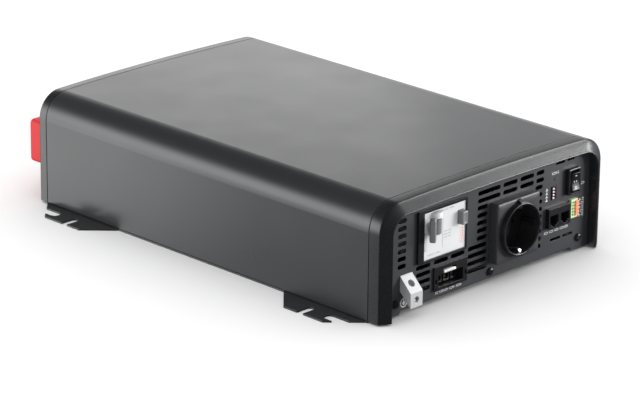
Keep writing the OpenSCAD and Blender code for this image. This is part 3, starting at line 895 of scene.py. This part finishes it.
@dataclass
class MainsSocket:
    """The round two-pole socket in its square flange.

    Args:
        levels: the shared planes.
        collar: outer radius of the collar.
        well: radius of the well.
        reach: how far the collar stands out of the panel.
        depth: depth of the well.
    """

    levels: Levels
    collar: float = 21.45
    well: float = 19.6
    reach: float = 12.6
    depth: float = 17.5

    def build(self) -> None:
        """Makes the flange, collar, well, clips and rim."""
        low, high = box_mm("socket_body")
        x = (low.x + high.x) / 2
        z = (low.z + high.z) / 2
        half = (high.x - low.x) / 2
        z = low.z + half
        panel = self.levels.panel
        rim = panel - self.reach
        floor = rim + self.depth
        black = FINISHES["black_plastic"]
        flange = Shape()
        rings = []
        for d, inset, r in ((0.1, 0.0, 1.8), (7.0, 0.0, 1.8), (7.4, 0.08, 1.7), (7.8, 0.3, 1.6),
                            (8.05, 0.6, 1.5), (8.2, 1.1, 1.3), (8.2, 5.0, 1.0)):
            ring = rounded_rect(x - half + inset, x + half - inset,
                                z - half + inset, z + half - inset, r, 8)
            rings.append([Vector((u, panel - d, v)) for u, v in ring])
        flange.rings(rings)
        flange.carve(Shape().lathe([(0, -30), (self.collar - 0.05, -30), (self.collar - 0.05, 30),
                                    (0, 30)], (x, panel, z), 96))
        flange.done("mains_socket_flange", FLANGE, replaces=["socket_body"])
        c, w = self.collar, self.well
        cup = [(c - 0.8, 12.0 + self.reach), (c, 11.0 + self.reach), (c, 0.9), (c - 0.15, 0.35),
               (c - 0.5, 0.05), (c - 0.75, 0.0), (w + 0.45, 0.0), (w + 0.15, 0.12), (w, 0.5),
               (w, self.depth - 0.8), (w - 0.3, self.depth - 0.2), (w - 1.0, self.depth),
               (0.0, self.depth), (0.0, self.depth + 7.0), (c - 0.8, self.depth + 7.0)]
        collar = Shape().lathe(cup + [cup[0]], (x, rim, z), 112)
        pins = [Shape().lathe([(0, -2), (2.7, -2), (2.7, 5.4), (0, 5.4)], (x + s * 9.5, floor, z), 32)
                for s in (-1, 1)]
        collar.carve(*pins)
        collar.done("mains_socket_collar", black, smooth=28)
        self._key_rib(x, z, rim, panel)
        self._guides(x, z, rim)
        self._clips(x, z, rim)

    def _key_rib(self, x: float, z: float, rim: float, panel: float) -> None:
        """The sloped rib on top of the collar.

        Args:
            x: the socket's middle.
            z: the socket's middle.
            rim: where the collar ends.
            panel: the panel's face.
        """
        side = [(rim + 0.5, z + 20.4), (rim + 0.3, z + 21.7), (rim + 1.2, z + 22.2),
                (panel - 8.0, z + 24.2), (panel - 6.0, z + 24.3), (panel - 6.0, z + 20.4)]
        rib = Shape().prism(side, x - 2.0, x + 2.0, 0.35,
                            place=lambda u, v, w: Vector((w, u, v)))
        rib.done("mains_socket_key", FINISHES["black_plastic"])

    def _guides(self, x: float, z: float, rim: float) -> None:
        """The ribs at both sides of the well.

        Args:
            x: the socket's middle.
            z: the socket's middle.
            rim: where the collar ends.
        """
        shape = Shape()
        for s in (-1, 1):
            x0, x1 = sorted((x + s * (self.well - 1.5), x + s * (self.well + 0.3)))
            shape.block((x0, rim + 3, z - 2.5), (x1, rim + self.depth, z + 2.5), 0.35)
        shape.done("mains_socket_guides", FINISHES["black_plastic"])

    def _clips(self, x: float, z: float, rim: float) -> None:
        """The two sprung earth clips, bent inwards and back again.

        Args:
            x: the socket's middle.
            z: the socket's middle.
            rim: where the collar ends.
        """
        shape = Shape()
        for s in (-1, 1):
            line = [(rim + self.depth - 0.3, 18.3), (rim + 13, 18.1), (rim + 9, 17.2),
                    (rim + 6.2, 16.2), (rim + 4.4, 16.0), (rim + 3.0, 16.6), (rim + 2.2, 18.0),
                    (rim + 2.1, 19.2)]
            outer = [(y, z + s * r) for y, r in line]
            inner = [(y + 0.35, z + s * (r + 0.55)) for y, r in reversed(line[:-1])]
            shape.prism(outer + [(rim + 2.7, z + s * 19.4)] + inner, x - 1.6, x + 1.6, 0.12,
                        place=lambda u, v, w: Vector((w, u, v)), steps=2)
        shape.done("mains_socket_clips", FINISHES["spring_steel"], replaces=["socket_contacts"])
        pins = Shape()
        for s in (-1, 1):
            pins.lathe([(2.05, 5.3), (2.05, 0.8), (2.2, 0.6), (2.5, 0.6), (2.6, 0.8), (2.6, 5.3),
                        (2.05, 5.3)], (x + s * 9.5, rim + self.depth, z), 32)
        pins.done("mains_socket_sleeves", FINISHES["black_screw"])


# ---- breaker ----


@dataclass
class Breaker:
    """The breaker's lever, collars and test button.

    Args:
        levels: the shared planes.
        lean: angle of the lever at rest, in degrees.
        drum: radius of the lever's drum.
    """

    levels: Levels
    lean: float = 54.0
    drum: float = 5.2

    def build(self) -> None:
        """Makes the moving parts."""
        self._lever()
        self._collar()
        self._button()

    def _collar(self) -> None:
        """The barrel with a domed top over the lever's drum."""
        low, high = box_mm("breaker_lever")
        joint = next(j for j in frame["joints"] if j["child"] == "breaker_lever")
        foot = (low.z + high.z) / 2 + 6.8
        r = self.drum + 0.55
        dome = [(0.0, 0.0), (r - 0.3, 0.0), (r, 0.3), (r, 3.4), (r - 0.25, 4.2), (r - 0.9, 4.8),
                (r - 1.9, 5.15), (0.0, 5.3)]
        barrel = Shape().lathe(dome, (0, 0, 0), 64)
        barrel.moved(Matrix.Rotation(math.pi / 2, 4, "X"))
        at = Vector((joint["pos_m"][0] / MM, self.levels.panel, foot))
        barrel.moved(Matrix.Translation(at))
        barrel.done("breaker_collar", FINISHES["light_plastic"])

    def _lever(self) -> None:
        """The drum with its grip bar, which swings about an upright axis."""
        joint = next(j for j in frame["joints"] if j["child"] == "breaker_lever")
        pivot = Vector(joint["pos_m"]) / MM
        low, high = box_mm("breaker_lever")
        z = (low.z + high.z) / 2
        axis = Vector((pivot.x, self.levels.panel, z))
        lever = Shape()
        lever.lathe([(0, -6), (self.drum - 0.4, -6), (self.drum, -5.6), (self.drum, 5.6),
                     (self.drum - 0.4, 6), (0, 6)], (0, 0, 0), 72)
        lever.moved(Matrix.Rotation(math.pi / 2, 4, "X"))
        lever.block((-1.8, -12.0, -5.4), (1.8, 0.0, 5.4), 0.5)
        grip = Shape().prism(rounded_rect(0.0, 6.4, -9.7, 9.7, 3.1, 10), -2.4, 2.4, 1.3,
                             place=lambda u, v, w: Vector((w, u - 14.8, v)))
        hole = Shape().lathe([(0, -5), (1.0, -5), (1.0, 5), (0, 5)], (0, 0, 0), 32)
        hole.moved(Matrix.Translation((0, -11.4, 7.2)) @ Matrix.Rotation(math.pi / 2, 4, "Z"))
        grip.carve(hole)
        turn = Matrix.Translation(axis) @ Matrix.Rotation(-math.radians(self.lean), 4, "Z")
        lever.moved(turn).done("breaker_lever_drum", FINISHES["grey_plastic"], "breaker_lever",
                               ["breaker_lever"])
        grip.moved(turn).done("breaker_lever_grip", FINISHES["grey_plastic"], "breaker_lever")

    def _button(self) -> None:
        """The test button, slightly hollowed for a fingertip."""
        low, high = box_mm("breaker_test_button")
        xm, zm = (low.x + high.x) / 2, (low.z + high.z) / 2
        w, t = (high.x - low.x) / 2, (high.z - low.z) / 2
        rings = []
        rows = ((high.y, 0, 0.8), (low.y + 0.9, 0, 0.8), (low.y + 0.25, 0.2, 0.8),
                (low.y, 0.8, 0.6), (low.y + 0.15, 1.5, 0.5), (low.y + 0.35, 2.4, 0.3))
        for y, inset, r in rows:
            ring = rounded_rect(xm - w + inset, xm + w - inset, zm - t + inset, zm + t - inset, r)
            rings.append([Vector((u, y, v)) for u, v in ring])
        Shape().rings(rings).done("breaker_test_cap", FINISHES["grey_plastic"],
                                  "breaker_test_button", ["breaker_test_button"])


# ---- switches, outlet and signals ----


@dataclass
class PowerRocker:
    """The three-position rocker with its surround and marks.

    Args:
        levels: the shared planes.
        valley: how far the middle lies behind the tips.
    """

    levels: Levels
    valley: float = 1.3

    def build(self) -> None:
        """Makes the surround, the paddle and its marks."""
        low, high = box_mm("power_rocker_bezel")
        xm, zm = (low.x + high.x) / 2, (low.z + high.z) / 2
        w, t = (high.x - low.x) / 2, (high.z - low.z) / 2
        panel = self.levels.panel
        face = panel - low.y

        def loop(d: float, dx: float, dz: float, r: float) -> list[Vector]:
            """A rounded ring d in front of the panel, inset by dx and dz."""
            flat = rounded_rect(xm - w + dx, xm + w - dx, zm - t + dz, zm + t - dz, r)
            return [Vector((u, panel - d, v)) for u, v in flat]

        rows = [loop(0.1, 0.0, 0.0, 1.2), loop(face - 0.6, 0.0, 0.0, 1.2)]
        rows += [loop(face - 0.15, 0.2, 0.2, 1.1), loop(face, 0.7, 0.7, 0.9)]
        rows += [loop(face, 1.9, 1.3, 0.6), loop(face - 0.35, 2.2, 1.5, 0.4)]
        rows += [loop(0.2, 2.25, 1.95, 0.3), loop(-15.9, 2.25, 1.95, 0.3)]
        rows += [loop(-15.9, 1.0, 1.25, 0.9), loop(0.1, 1.0, 1.25, 0.9)]
        shape = Shape().rings(rows + [rows[0]], capped=False)
        shape.done("power_rocker_surround", FINISHES["black_plastic"],
                   replaces=["power_rocker_bezel"])
        self._paddle(xm)

    def _paddle(self, xm: float) -> None:
        """The paddle, hollowed along its pivot line, with I, O and II on it.

        Args:
            xm: the surround's middle.
        """
        low, high = box_mm("power_rocker")
        zm = (low.z + high.z) / 2
        tall = 7.4
        tip = low.y
        face = []
        for k in range(17):
            v = -tall + 2 * tall * k / 16
            face.append((v, tip + self.valley * (1 - (abs(v) / tall) ** 1.4)))
        back = [(7.0, self.levels.panel + 1.5), (3.0, high.y), (-3.0, high.y),
                (-7.0, self.levels.panel + 1.5)]
        paddle = Shape().prism([(zm + v, y) for v, y in face] + [(zm + v, y) for v, y in back],
                               xm - 4.6, xm + 4.6, 0.35,
                               place=lambda u, v, w: Vector((w, v, u)), steps=2)
        paddle.done("power_rocker_paddle", FINISHES["black_plastic"], "power_rocker",
                    ["power_rocker"], smooth=40)
        marks = Shape()
        for rise in (5.0, -4.3, -5.7):
            y = tip + self.valley * (1 - (abs(rise) / tall) ** 1.4)
            marks.block((xm - 1.1, y - 0.06, zm + rise - 0.2),
                        (xm + 1.1, y + 0.3, zm + rise + 0.2))
        marks.lathe([(1.6, 0.3), (1.6, -0.06), (1.2, -0.06), (1.2, 0.3), (1.6, 0.3)],
                    (xm, tip + self.valley, zm), 40)
        marks.done("power_rocker_marks", INK, "power_rocker")


@dataclass
class SignalParts:
    """Small levers, the status lamp and the outlet's latch.

    Args:
        levels: the shared planes; not used.
    """

    levels: Levels

    def build(self) -> None:
        """Makes each small moving or shining part."""
        for n in range(1, 5):
            node = f"dip_lever_{n}"
            low, high = box_mm(node)
            cap = Shape().block(low, high, 0.16)
            cap.done(node + "_cap", FINISHES["white_plastic"], node, [node])
        for n in range(1, 6):
            node = f"terminal_lever_{n}"
            low, high = box_mm(node)
            side = [(low.y + 0.2, low.z), (low.y, low.z + 0.2), (low.y, high.z - 0.2),
                    (low.y + 0.2, high.z), (high.y, high.z), (high.y, low.z)]
            tab = Shape().prism(side, low.x, high.x, 0.18,
                                place=lambda u, v, w: Vector((w, u, v)), steps=2)
            tab.done(node + "_tab", FINISHES["orange_plastic"], node, [node])
        self._lamp()
        self._latch()

    def _lamp(self) -> None:
        """The status lamp: a domed lens with a collar behind the panel."""
        low, high = box_mm("status_led")
        r = 1.3
        dome = [(0.0, 0.0), (r * 0.5, 0.12), (r * 0.85, 0.45), (r, 0.95), (r, 2.4), (2.2, 2.4),
                (2.2, high.y - low.y), (0.0, high.y - low.y)]
        lens = Shape().lathe(dome, ((low.x + high.x) / 2, low.y, (low.z + high.z) / 2), 40)
        lens.done("status_lamp_lens", FINISHES["led_lens"], replaces=["status_led"])

    def _latch(self) -> None:
        """The outlet's latch with its ribbed thumb grip."""
        low, high = box_mm("ac_outlet_latch")
        latch = Shape().block(low, high, 0.35)
        for k in range(5):
            x = low.x + 3.0 + k * (high.x - low.x - 6.0) / 4
            latch.block((x - 0.35, low.y, low.z + 0.3), (x + 0.35, low.y + 0.8, high.z - 0.3), 0.1)
        latch.done("outlet_latch_grip", FINISHES["white_plastic"], "ac_outlet_latch",
                   ["ac_outlet_latch"])


# ---- rear ----


@dataclass
class Fan:
    """One cooling fan's rotor.

    Args:
        side: "left" or "right", as the CAD names it.
        blades: number of blades.
        hub: radius of the hub.
        pitch: blade angle at the hub, in degrees.
    """

    side: str
    blades: int = 7
    hub: float = 13.0
    pitch: float = 52.0

    def build(self) -> None:
        """Makes the hub and its twisted, swept blades."""
        node = "fan_rotor_" + self.side
        low, high = box_mm(node)
        x, z = (low.x + high.x) / 2, (low.z + high.z) / 2
        tip = (high.x - low.x) / 2
        y1 = high.y
        y0 = y1 - 19.0
        rotor = Shape()
        r = self.hub
        rotor.lathe([(0, low.y), (1.5, low.y), (1.5, y0), (r - 0.6, y0), (r, y0 + 0.6),
                     (r, y1 - 1.6), (r - 0.5, y1 - 0.5), (r - 1.6, y1), (4.0, y1),
                     (3.6, y1 - 0.25), (0, y1 - 0.25)], (x, 0, z), 72)
        for b in range(self.blades):
            rotor.rings(self._blade(b, x, z, (y0 + y1) / 2, tip))
        rotor.done(node + "_blades", FINISHES["black_plastic"], node, [node], smooth=45)

    def _blade(self, index: int, x: float, z: float, ym: float, tip: float) -> list[list[Vector]]:
        """The sections of one blade from hub to tip.

        Args:
            index: which blade.
            x: axis position.
            z: axis position.
            ym: middle of the blades along Y.
            tip: radius of the tips.

        Returns:
            The sections, as rings of points.
        """
        sections = []
        for k in range(7):
            t = k / 6
            radius = self.hub - 0.6 + (tip - self.hub + 0.5) * t
            angle = math.radians(self.pitch - 16 * t)
            sweep = 2 * math.pi * index / self.blades + 0.28 * t * t
            chord = 9.4 + 2.2 * t
            ring = []
            outline = [(-1, 0), (-0.5, 0.9), (0.1, 1.0), (0.6, 0.7), (1, 0.0), (0.6, -0.1),
                       (0.1, 0.05), (-0.5, 0.0)]
            for u, v in outline:
                along = u * chord
                thick = v * 0.75 + 1.1 * (1 - u * u)
                y = ym + along * math.sin(angle) + thick * math.cos(angle) - 0.8
                across = along * math.cos(angle) - thick * math.sin(angle)
                turn = sweep + across / radius
                ring.append(Vector((x + radius * math.cos(turn), y, z + radius * math.sin(turn))))
            sections.append(ring)
        return sections


@dataclass
class FanGuards:
    """The wire guards over both fans.

    Args:
        levels: the shared planes; not used.
        wire: radius of the wire.
    """

    levels: Levels
    wire: float = 0.8

    def build(self) -> None:
        """Makes rings, spokes and eyelets for each fan."""
        guard = Shape()
        low, high = box_mm("fan_guards")
        y = (low.y + high.y) / 2
        for side in ("left", "right"):
            centre = middle("fan_frame_" + side)
            half = (box_mm("fan_frame_" + side)[1].x - box_mm("fan_frame_" + side)[0].x) / 2
            eye = (half - 5) * math.sqrt(2)
            for ring in (9.7, 16.7, 23.7):
                guard.torus((centre.x, y, centre.z), ring, self.wire * 0.95)
            for k in range(4):
                turn = Matrix.Translation((centre.x, y, centre.z)) @ Matrix.Rotation(
                    math.radians(45 + 90 * k), 4, "Y")
                spoke = Shape().block((8.6, -0.75, -0.8), (eye - 2.6, 0.75, 0.8), 0.5)
                spoke.lathe([(3.0, -0.7), (3.0, 0.7), (1.9, 0.7), (1.9, -0.7), (3.0, -0.7)],
                            (eye, 0, 0), 32)
                spoke.moved(turn)
                mesh = bpy.data.meshes.new("spoke")
                spoke.bm.to_mesh(mesh)
                guard.bm.from_mesh(mesh)
                bpy.data.meshes.remove(mesh)
        guard.done("fan_guard_wires", FINISHES["plated_steel"], replaces=["fan_guards"])


@dataclass
class BatteryTerminals:
    """Studs, nuts and the two pull-off covers.

    Args:
        levels: the shared planes; not used.
        wall: thickness of a cover's wall.
    """

    levels: Levels
    wall: float = 2.2

    def build(self) -> None:
        """Makes covers, studs and nuts."""
        for name, finish in (("positive", "red_plastic"), ("negative", "black_plastic")):
            self._cover("terminal_cover_" + name, FINISHES[finish])
        self._studs()

    def _cover(self, node: str, finish: Finish) -> None:
        """One cover, hollow, with round edges and a notch cut through its bottom wall.

        Args:
            node: the CAD node that it stands for.
            finish: its finish.
        """
        low, high = box_mm(node)
        x0, x1, z0, z1 = low.x, high.x, low.z, high.z
        rings = []
        rows = [(low.y, 0.0, 4.0), (high.y - 2.0, 0.0, 4.0)]
        rows += [(high.y - 2.0 + 2.0 * math.sin(a), 2.0 - 2.0 * math.cos(a), 4.0 - 0.8 * a)
                 for a in (0.35, 0.7, 1.05, 1.3, math.pi / 2)]
        for y, i, r in rows:
            ring = rounded_rect(x0 + i, x1 - i, z0 + i, z1 - i, r, 8)
            rings.append([Vector((u, y, v)) for u, v in ring])
        cap = Shape().rings(rings)
        w = self.wall
        hollow = Shape().prism(rounded_rect(x0 + w, x1 - w, z0 + w, z1 - w, 2.0),
                               low.y - 1, high.y - w)
        xm = (x0 + x1) / 2
        notch = Shape().prism(rounded_rect(xm - 9, xm + 9, low.y + 8, low.y + 28, 1.5),
                              z0 - 2, z0 + w + 0.5, place=lambda u, v, n: Vector((u, v, n)))
        cap.carve(hollow, notch)
        cap.done(node + "_cap", finish, node, [node])

    def _studs(self) -> None:
        """The threaded studs with their nuts and washers."""
        studs = box_mm("dc_studs")
        nuts = box_mm("dc_nuts")
        r = (studs[1].z - studs[0].z) / 2
        z = (studs[0].z + studs[1].z) / 2
        xs = (studs[0].x + r, studs[1].x - r)
        thread = Shape()
        profile = [(0.0, studs[0].y), (r, studs[0].y)]
        y = studs[0].y + 0.8
        while y < studs[1].y - 1.6:
            profile += [(r, y), (r - 0.6, y + 0.6)]
            y += 1.25
        profile += [(r, y), (r - 0.8, studs[1].y), (0.0, studs[1].y)]
        for x in xs:
            thread.lathe(profile, (x, 0, z), 36)
        thread.done("battery_stud_threads", FINISHES["copper_bar"], replaces=["dc_studs"])
        nut = Shape()
        for x in xs:
            seat = nuts[0].y
            nut.lathe([(r + 0.1, seat), (8.0, seat), (8.0, seat + 1.4), (7.8, seat + 1.6),
                       (r + 0.1, seat + 1.6), (r + 0.1, seat)], (x, 0, z), 48)
            hexes = Shape().prism([(x + 7.5 * math.cos(math.pi * k / 3),
                                    z + 7.5 * math.sin(math.pi * k / 3)) for k in range(6)],
                                  seat + 1.7, nuts[1].y, 0.35)
            hexes.carve(Shape().lathe([(0, seat), (r + 0.1, seat), (r + 0.1, nuts[1].y + 1),
                                       (0, nuts[1].y + 1)], (x, 0, z), 36))
            mesh = bpy.data.meshes.new("hex")
            hexes.bm.to_mesh(mesh)
            nut.bm.from_mesh(mesh)
            bpy.data.meshes.remove(mesh)
        nut.done("battery_stud_nuts", FINISHES["plated_steel"], replaces=["dc_nuts"])


# ---- print ----


@dataclass
class PanelPrint:
    """Generic printed marks: plain bars where captions would stand, and the earth sign.

    Args:
        levels: the shared planes.
        thick: how far the ink stands out of its surface.
        face: how far the breaker's face stands out of the panel.
    """

    levels: Levels
    thick: float = 0.05
    face: float = 1.3

    def build(self) -> None:
        """Prints the panel and the breaker's face."""
        panel = Shape()
        self._row(panel, -60.6, -31.0, 6.45, 2.0, (2, 6, 4, 4))
        self._row(panel, 64.0, 92.8, 22.3, 2.1, (3, 3, 3, 6))
        self._row(panel, 71.2, 79.6, 70.2, 2.1, (5,))
        self._row(panel, 104.2, 111.8, 54.2, 2.0, (3,))
        self._row(panel, 104.4, 106.4, 67.6, 1.6, (1,))
        self._column(panel, 65.6, 48.6, 60.2, 2.6, (4,))
        for k in range(5):
            self._row(panel, 104.8, 111.6, 27.8 + 3.2 * k, 2.1, (2 + k % 2,))
        self._earth(panel, -95.6, 8.6)
        panel.done("panel_print", INK)
        self._face()

    def _patch(self, shape: Shape, flat: Sequence[Point], d: float = 0.0) -> None:
        """A thin patch of ink on a surface d in front of the panel."""
        y = self.levels.panel - d
        z = self.levels.sill
        shape.prism([(u, v + z) for u, v in flat], y - self.thick, y + 0.02)

    def _row(self, shape: Shape, x0: float, x1: float, h: float, tall: float,
             words: Sequence[int], d: float = 0.0) -> None:
        """A line of plain strokes, grouped like words.

        Args:
            shape: what it is added to.
            x0: left end.
            x1: right end.
            h: height of its middle.
            tall: height of a stroke.
            words: strokes in each group.
            d: how far the surface lies in front of the panel.
        """
        cells = sum(words) + 0.8 * (len(words) - 1)
        step = (x1 - x0) / cells
        x = x0
        for count in words:
            for k in range(count):
                low = h - tall / 2
                high = h + tall / 2
                a, b = x + 0.12 * step, x + 0.78 * step
                if k % 3 == 1:
                    self._patch(shape, bar(a, b, low, low + tall * 0.26), d)
                    self._patch(shape, bar(a, b, high - tall * 0.26, high), d)
                else:
                    self._patch(shape, bar(a, a + 0.26 * step, low, high), d)
                    self._patch(shape, bar(a, b, low + tall * 0.37, low + tall * 0.63), d)
                x += step
            x += 0.8 * step

    def _column(self, shape: Shape, x: float, h0: float, h1: float, wide: float,
                words: Sequence[int], d: float = 0.0) -> None:
        """A line of plain strokes that reads upwards.

        Args:
            shape: what it is added to.
            x: its middle.
            h0: lower end.
            h1: upper end.
            wide: width of a stroke.
            words: strokes in each group.
            d: how far the surface lies in front of the panel.
        """
        step = (h1 - h0) / sum(words)
        for k in range(sum(words)):
            low = h0 + k * step
            across = bar(x - wide / 2, x + wide / 2, low + 0.1, low + 0.1 + step * 0.26)
            self._patch(shape, across, d)
            self._patch(shape, bar(x - wide * 0.13, x + wide * 0.13, low, low + step * 0.75), d)

    def _earth(self, shape: Shape, x: float, h: float) -> None:
        """The earth sign: a ring round a stem and three bars.

        Args:
            shape: what it is added to.
            x: its middle.
            h: height of its middle.
        """
        y = self.levels.panel
        z = self.levels.sill + h
        r = 3.7
        shape.lathe([(r, 0.0), (r, -self.thick), (r - 0.5, -self.thick), (r - 0.5, 0.0), (r, 0.0)],
                    (x, y, z), 56)
        self._patch(shape, bar(x - 0.25, x + 0.25, h + 0.2, h + 2.6))
        for wide, drop in ((2.1, 0.0), (1.4, 0.9), (0.7, 1.8)):
            self._patch(shape, bar(x - wide, x + wide, h - drop - 0.2, h - drop + 0.25))

    def _face(self) -> None:
        """Fine lines on the breaker's face, dark on light."""
        face = Shape()
        d = self.face
        ink = Finish("black_plastic", (0.09, 0.1, 0.11), 0.5, title="face_ink", cell=0.2,
                     relief=0.004, wear=0.0)
        self._row(face, -57.0, -42.5, 72.4, 0.9, (5, 4), d)
        for k in range(3):
            self._row(face, -54.0, -46.0, 55.0 - 2.4 * k, 0.7, (4, 3), d)
        self._column(face, -75.0, 44.0, 60.0, 0.7, (9,), d)
        self._column(face, -73.6, 44.0, 56.0, 0.7, (7,), d)
        self._column(face, -55.4, 43.0, 66.0, 0.5, (12,), d)
        self._row(face, -72.0, -58.0, 40.0, 0.8, (5, 3), d)
        face.done("breaker_face_print", ink)
        stripe = Shape()
        self._column(stripe, -33.2, 41.5, 54.5, 1.7, (6,), d)
        self._column(stripe, -35.6, 41.5, 54.0, 0.7, (8,), d)
        stripe.done("breaker_face_stripe", FINISHES["orange_plastic"])


# ---- scene ----


class CadDressing:
    """Gives every CAD node the finish of its material slot."""

    def build(self) -> None:
        """Assigns the materials."""
        slots = {row["node"]: row["material_slot"] for row in frame["record"]["subparts"]}
        for name, obj in frame["nodes"].items():
            finish = FINISHES[slots[name]]
            obj.data.materials.clear()
            obj.data.materials.append(finish.material())
            for poly in obj.data.polygons:
                poly.use_smooth = True
            obj.data.set_sharp_from_angle(angle=math.radians(28))
            LOG.info("%s: %s", name, finish.slot)


@dataclass(frozen=True)
class Lamp:
    """One soft box.

    Args:
        name: its name.
        at: where it stands, in metres.
        aim: what it looks at, in metres.
        size: width and height, in metres.
        power: watts.
        tint: its colour.
    """

    name: str
    at: tuple[float, float, float]
    aim: tuple[float, float, float]
    size: tuple[float, float]
    power: float
    tint: Colour = (1.0, 1.0, 1.0)

    def build(self, unlit: bpy.types.Collection) -> None:
        """Hangs the lamp.

        Args:
            unlit: what the lamp leaves out.
        """
        light = bpy.data.lights.new(self.name, "AREA")
        light.shape = "RECTANGLE"
        light.size, light.size_y = self.size
        light.energy = self.power
        light.color = self.tint
        lamp = bpy.data.objects.new(self.name, light)
        lamp.visible_camera = False
        lamp.light_linking.receiver_collection = unlit
        lamp.location = self.at
        look = Vector(self.aim) - Vector(self.at)
        lamp.rotation_euler = look.to_track_quat("-Z", "Y").to_euler()
        bpy.context.scene.collection.objects.link(lamp)


@dataclass
class Studio:
    """Floor, light and camera.

    Args:
        lens: focal length, in millimetres.
        azimuth: camera's azimuth, in degrees.
        elevation: camera's elevation, in degrees.
        roll: camera's roll, in degrees.
        at: where the camera stands, in metres.
        dome: brightness of the surroundings.
        horizon: brightness that gloss sees near the horizon.
        ceiling: brightness that gloss sees overhead.
    """

    lens: float = 177.9
    azimuth: float = -45.56
    elevation: float = 19.67
    roll: float = 0.61
    at: tuple[float, float, float] = (-1.7136, -1.6982, 0.8792)
    dome: float = 1.5
    horizon: float = 6.5
    ceiling: float = 0.03

    def build(self) -> None:
        """Sets everything up."""
        self._camera()
        unlit = self._floor()
        self._world()
        for lamp in (
            Lamp("lamp_rear_left", (-0.46, 0.56, -0.11), (-0.127, 0.17, 0.05), (0.32, 0.22), 0.6),
            Lamp("lamp_front_right", (0.75, -0.75, 0.2), (0.05, -0.2, 0.05), (0.5, 0.4), 12.0),
            Lamp("lamp_right", (0.9, -0.55, 0.85), (0.0, -0.2, 0.09), (0.6, 0.5), 7.5),
            Lamp("lamp_far", (0.8, 1.6, 0.70), (0.0, 0.0, 0.09), (1.6, 0.5), 3.6),
        ):
            lamp.build(unlit)

    def _camera(self) -> None:
        """The camera at its measured place."""
        data = bpy.data.cameras.new("camera")
        data.lens = self.lens
        data.sensor_width = 36.0
        data.clip_start, data.clip_end = 0.05, 60.0
        cam = bpy.data.objects.new("camera", data)
        az, el, roll = (math.radians(v) for v in (self.azimuth, self.elevation, self.roll))
        back = Vector((math.sin(az) * math.cos(el), -math.cos(az) * math.cos(el), math.sin(el)))
        right = Vector((math.cos(az), math.sin(az), 0.0))
        up = back.cross(right)
        x = right * math.cos(roll) + up * math.sin(roll)
        y = -right * math.sin(roll) + up * math.cos(roll)
        cam.matrix_world = Matrix.Translation(self.at) @ Matrix((x, y, back)).transposed().to_4x4()
        bpy.context.scene.collection.objects.link(cam)
        bpy.context.scene.camera = cam

    def _floor(self) -> bpy.types.Collection:
        """A wide pale floor.

        Returns:
            The collection that keeps the lamps off it.
        """
        bm = bmesh.new()
        bmesh.ops.create_grid(bm, x_segments=8, y_segments=8, size=9.0)
        mesh = bpy.data.meshes.new("floor")
        bm.to_mesh(mesh)
        bm.free()
        floor = bpy.data.objects.new("floor", mesh)
        floor.data.materials.append(FLOOR.material("floor"))
        floor.visible_glossy = False
        floor.visible_shadow = False
        bpy.context.scene.collection.objects.link(floor)
        unlit = bpy.data.collections.new("unlit")
        unlit.objects.link(floor)
        unlit.collection_objects[0].light_linking.link_state = "EXCLUDE"
        return unlit

    def _world(self) -> None:
        """White surroundings that gloss sees as a bright horizon under a dark ceiling."""
        scene = bpy.context.scene
        scene.view_settings.view_transform = "Standard"
        world = bpy.data.worlds.new("studio")
        world.use_nodes = True
        tree = NodeTree(world.node_tree)
        split = tree.add("ShaderNodeSeparateXYZ")
        tree.link(tree.add("ShaderNodeTexCoord").outputs["Generated"], split.inputs[0])
        rise = tree.spread(split.outputs["Z"], 0.24, 0.5, 1.0, self.ceiling)
        for axis, a0, a1, b0, b1 in (("X", -0.7, 0.5, self.horizon, 1.5), ("Y", -0.4, 0.6, 0.0, 1.0),
                                     ("Z", -0.3, 0.0, 0.1, 1.0)):
            fade = tree.spread(split.outputs[axis], a0, a1, b0, b1)
            rise = tree.maths("MULTIPLY", rise, fade)
        gloss = tree.add("ShaderNodeLightPath").outputs["Is Glossy Ray"]
        mix = tree.add("ShaderNodeMix")
        mix.inputs[2].default_value = self.dome
        tree.link(gloss, mix.inputs[0])
        tree.link(rise, mix.inputs[3])
        back = tree.add("ShaderNodeBackground")
        tree.link(mix.outputs[0], back.inputs["Strength"])
        out = tree.add("ShaderNodeOutputWorld")
        tree.link(back.outputs[0], out.inputs["Surface"])
        scene.world = world


def main() -> None:
    """Builds everything in order."""
    logging.basicConfig(level=logging.INFO, format="%(message)s")
    levels = Levels.read()
    CadDressing().build()
    BezelShell(levels, "front_bezel", front_stations(levels)).build()
    BezelShell(levels, "rear_bezel", rear_stations(levels)).build()
    PanHeads("front_screws").build()
    PanHeads("rear_screws", facing=1).build()
    MainsSocket(levels).build()
    Breaker(levels).build()
    PowerRocker(levels).build()
    SignalParts(levels).build()
    for side in ("left", "right"):
        Fan(side).build()
    FanGuards(levels).build()
    BatteryTerminals(levels).build()
    PanelPrint(levels).build()
    Studio().build()


if __name__ == "__main__":
    main()
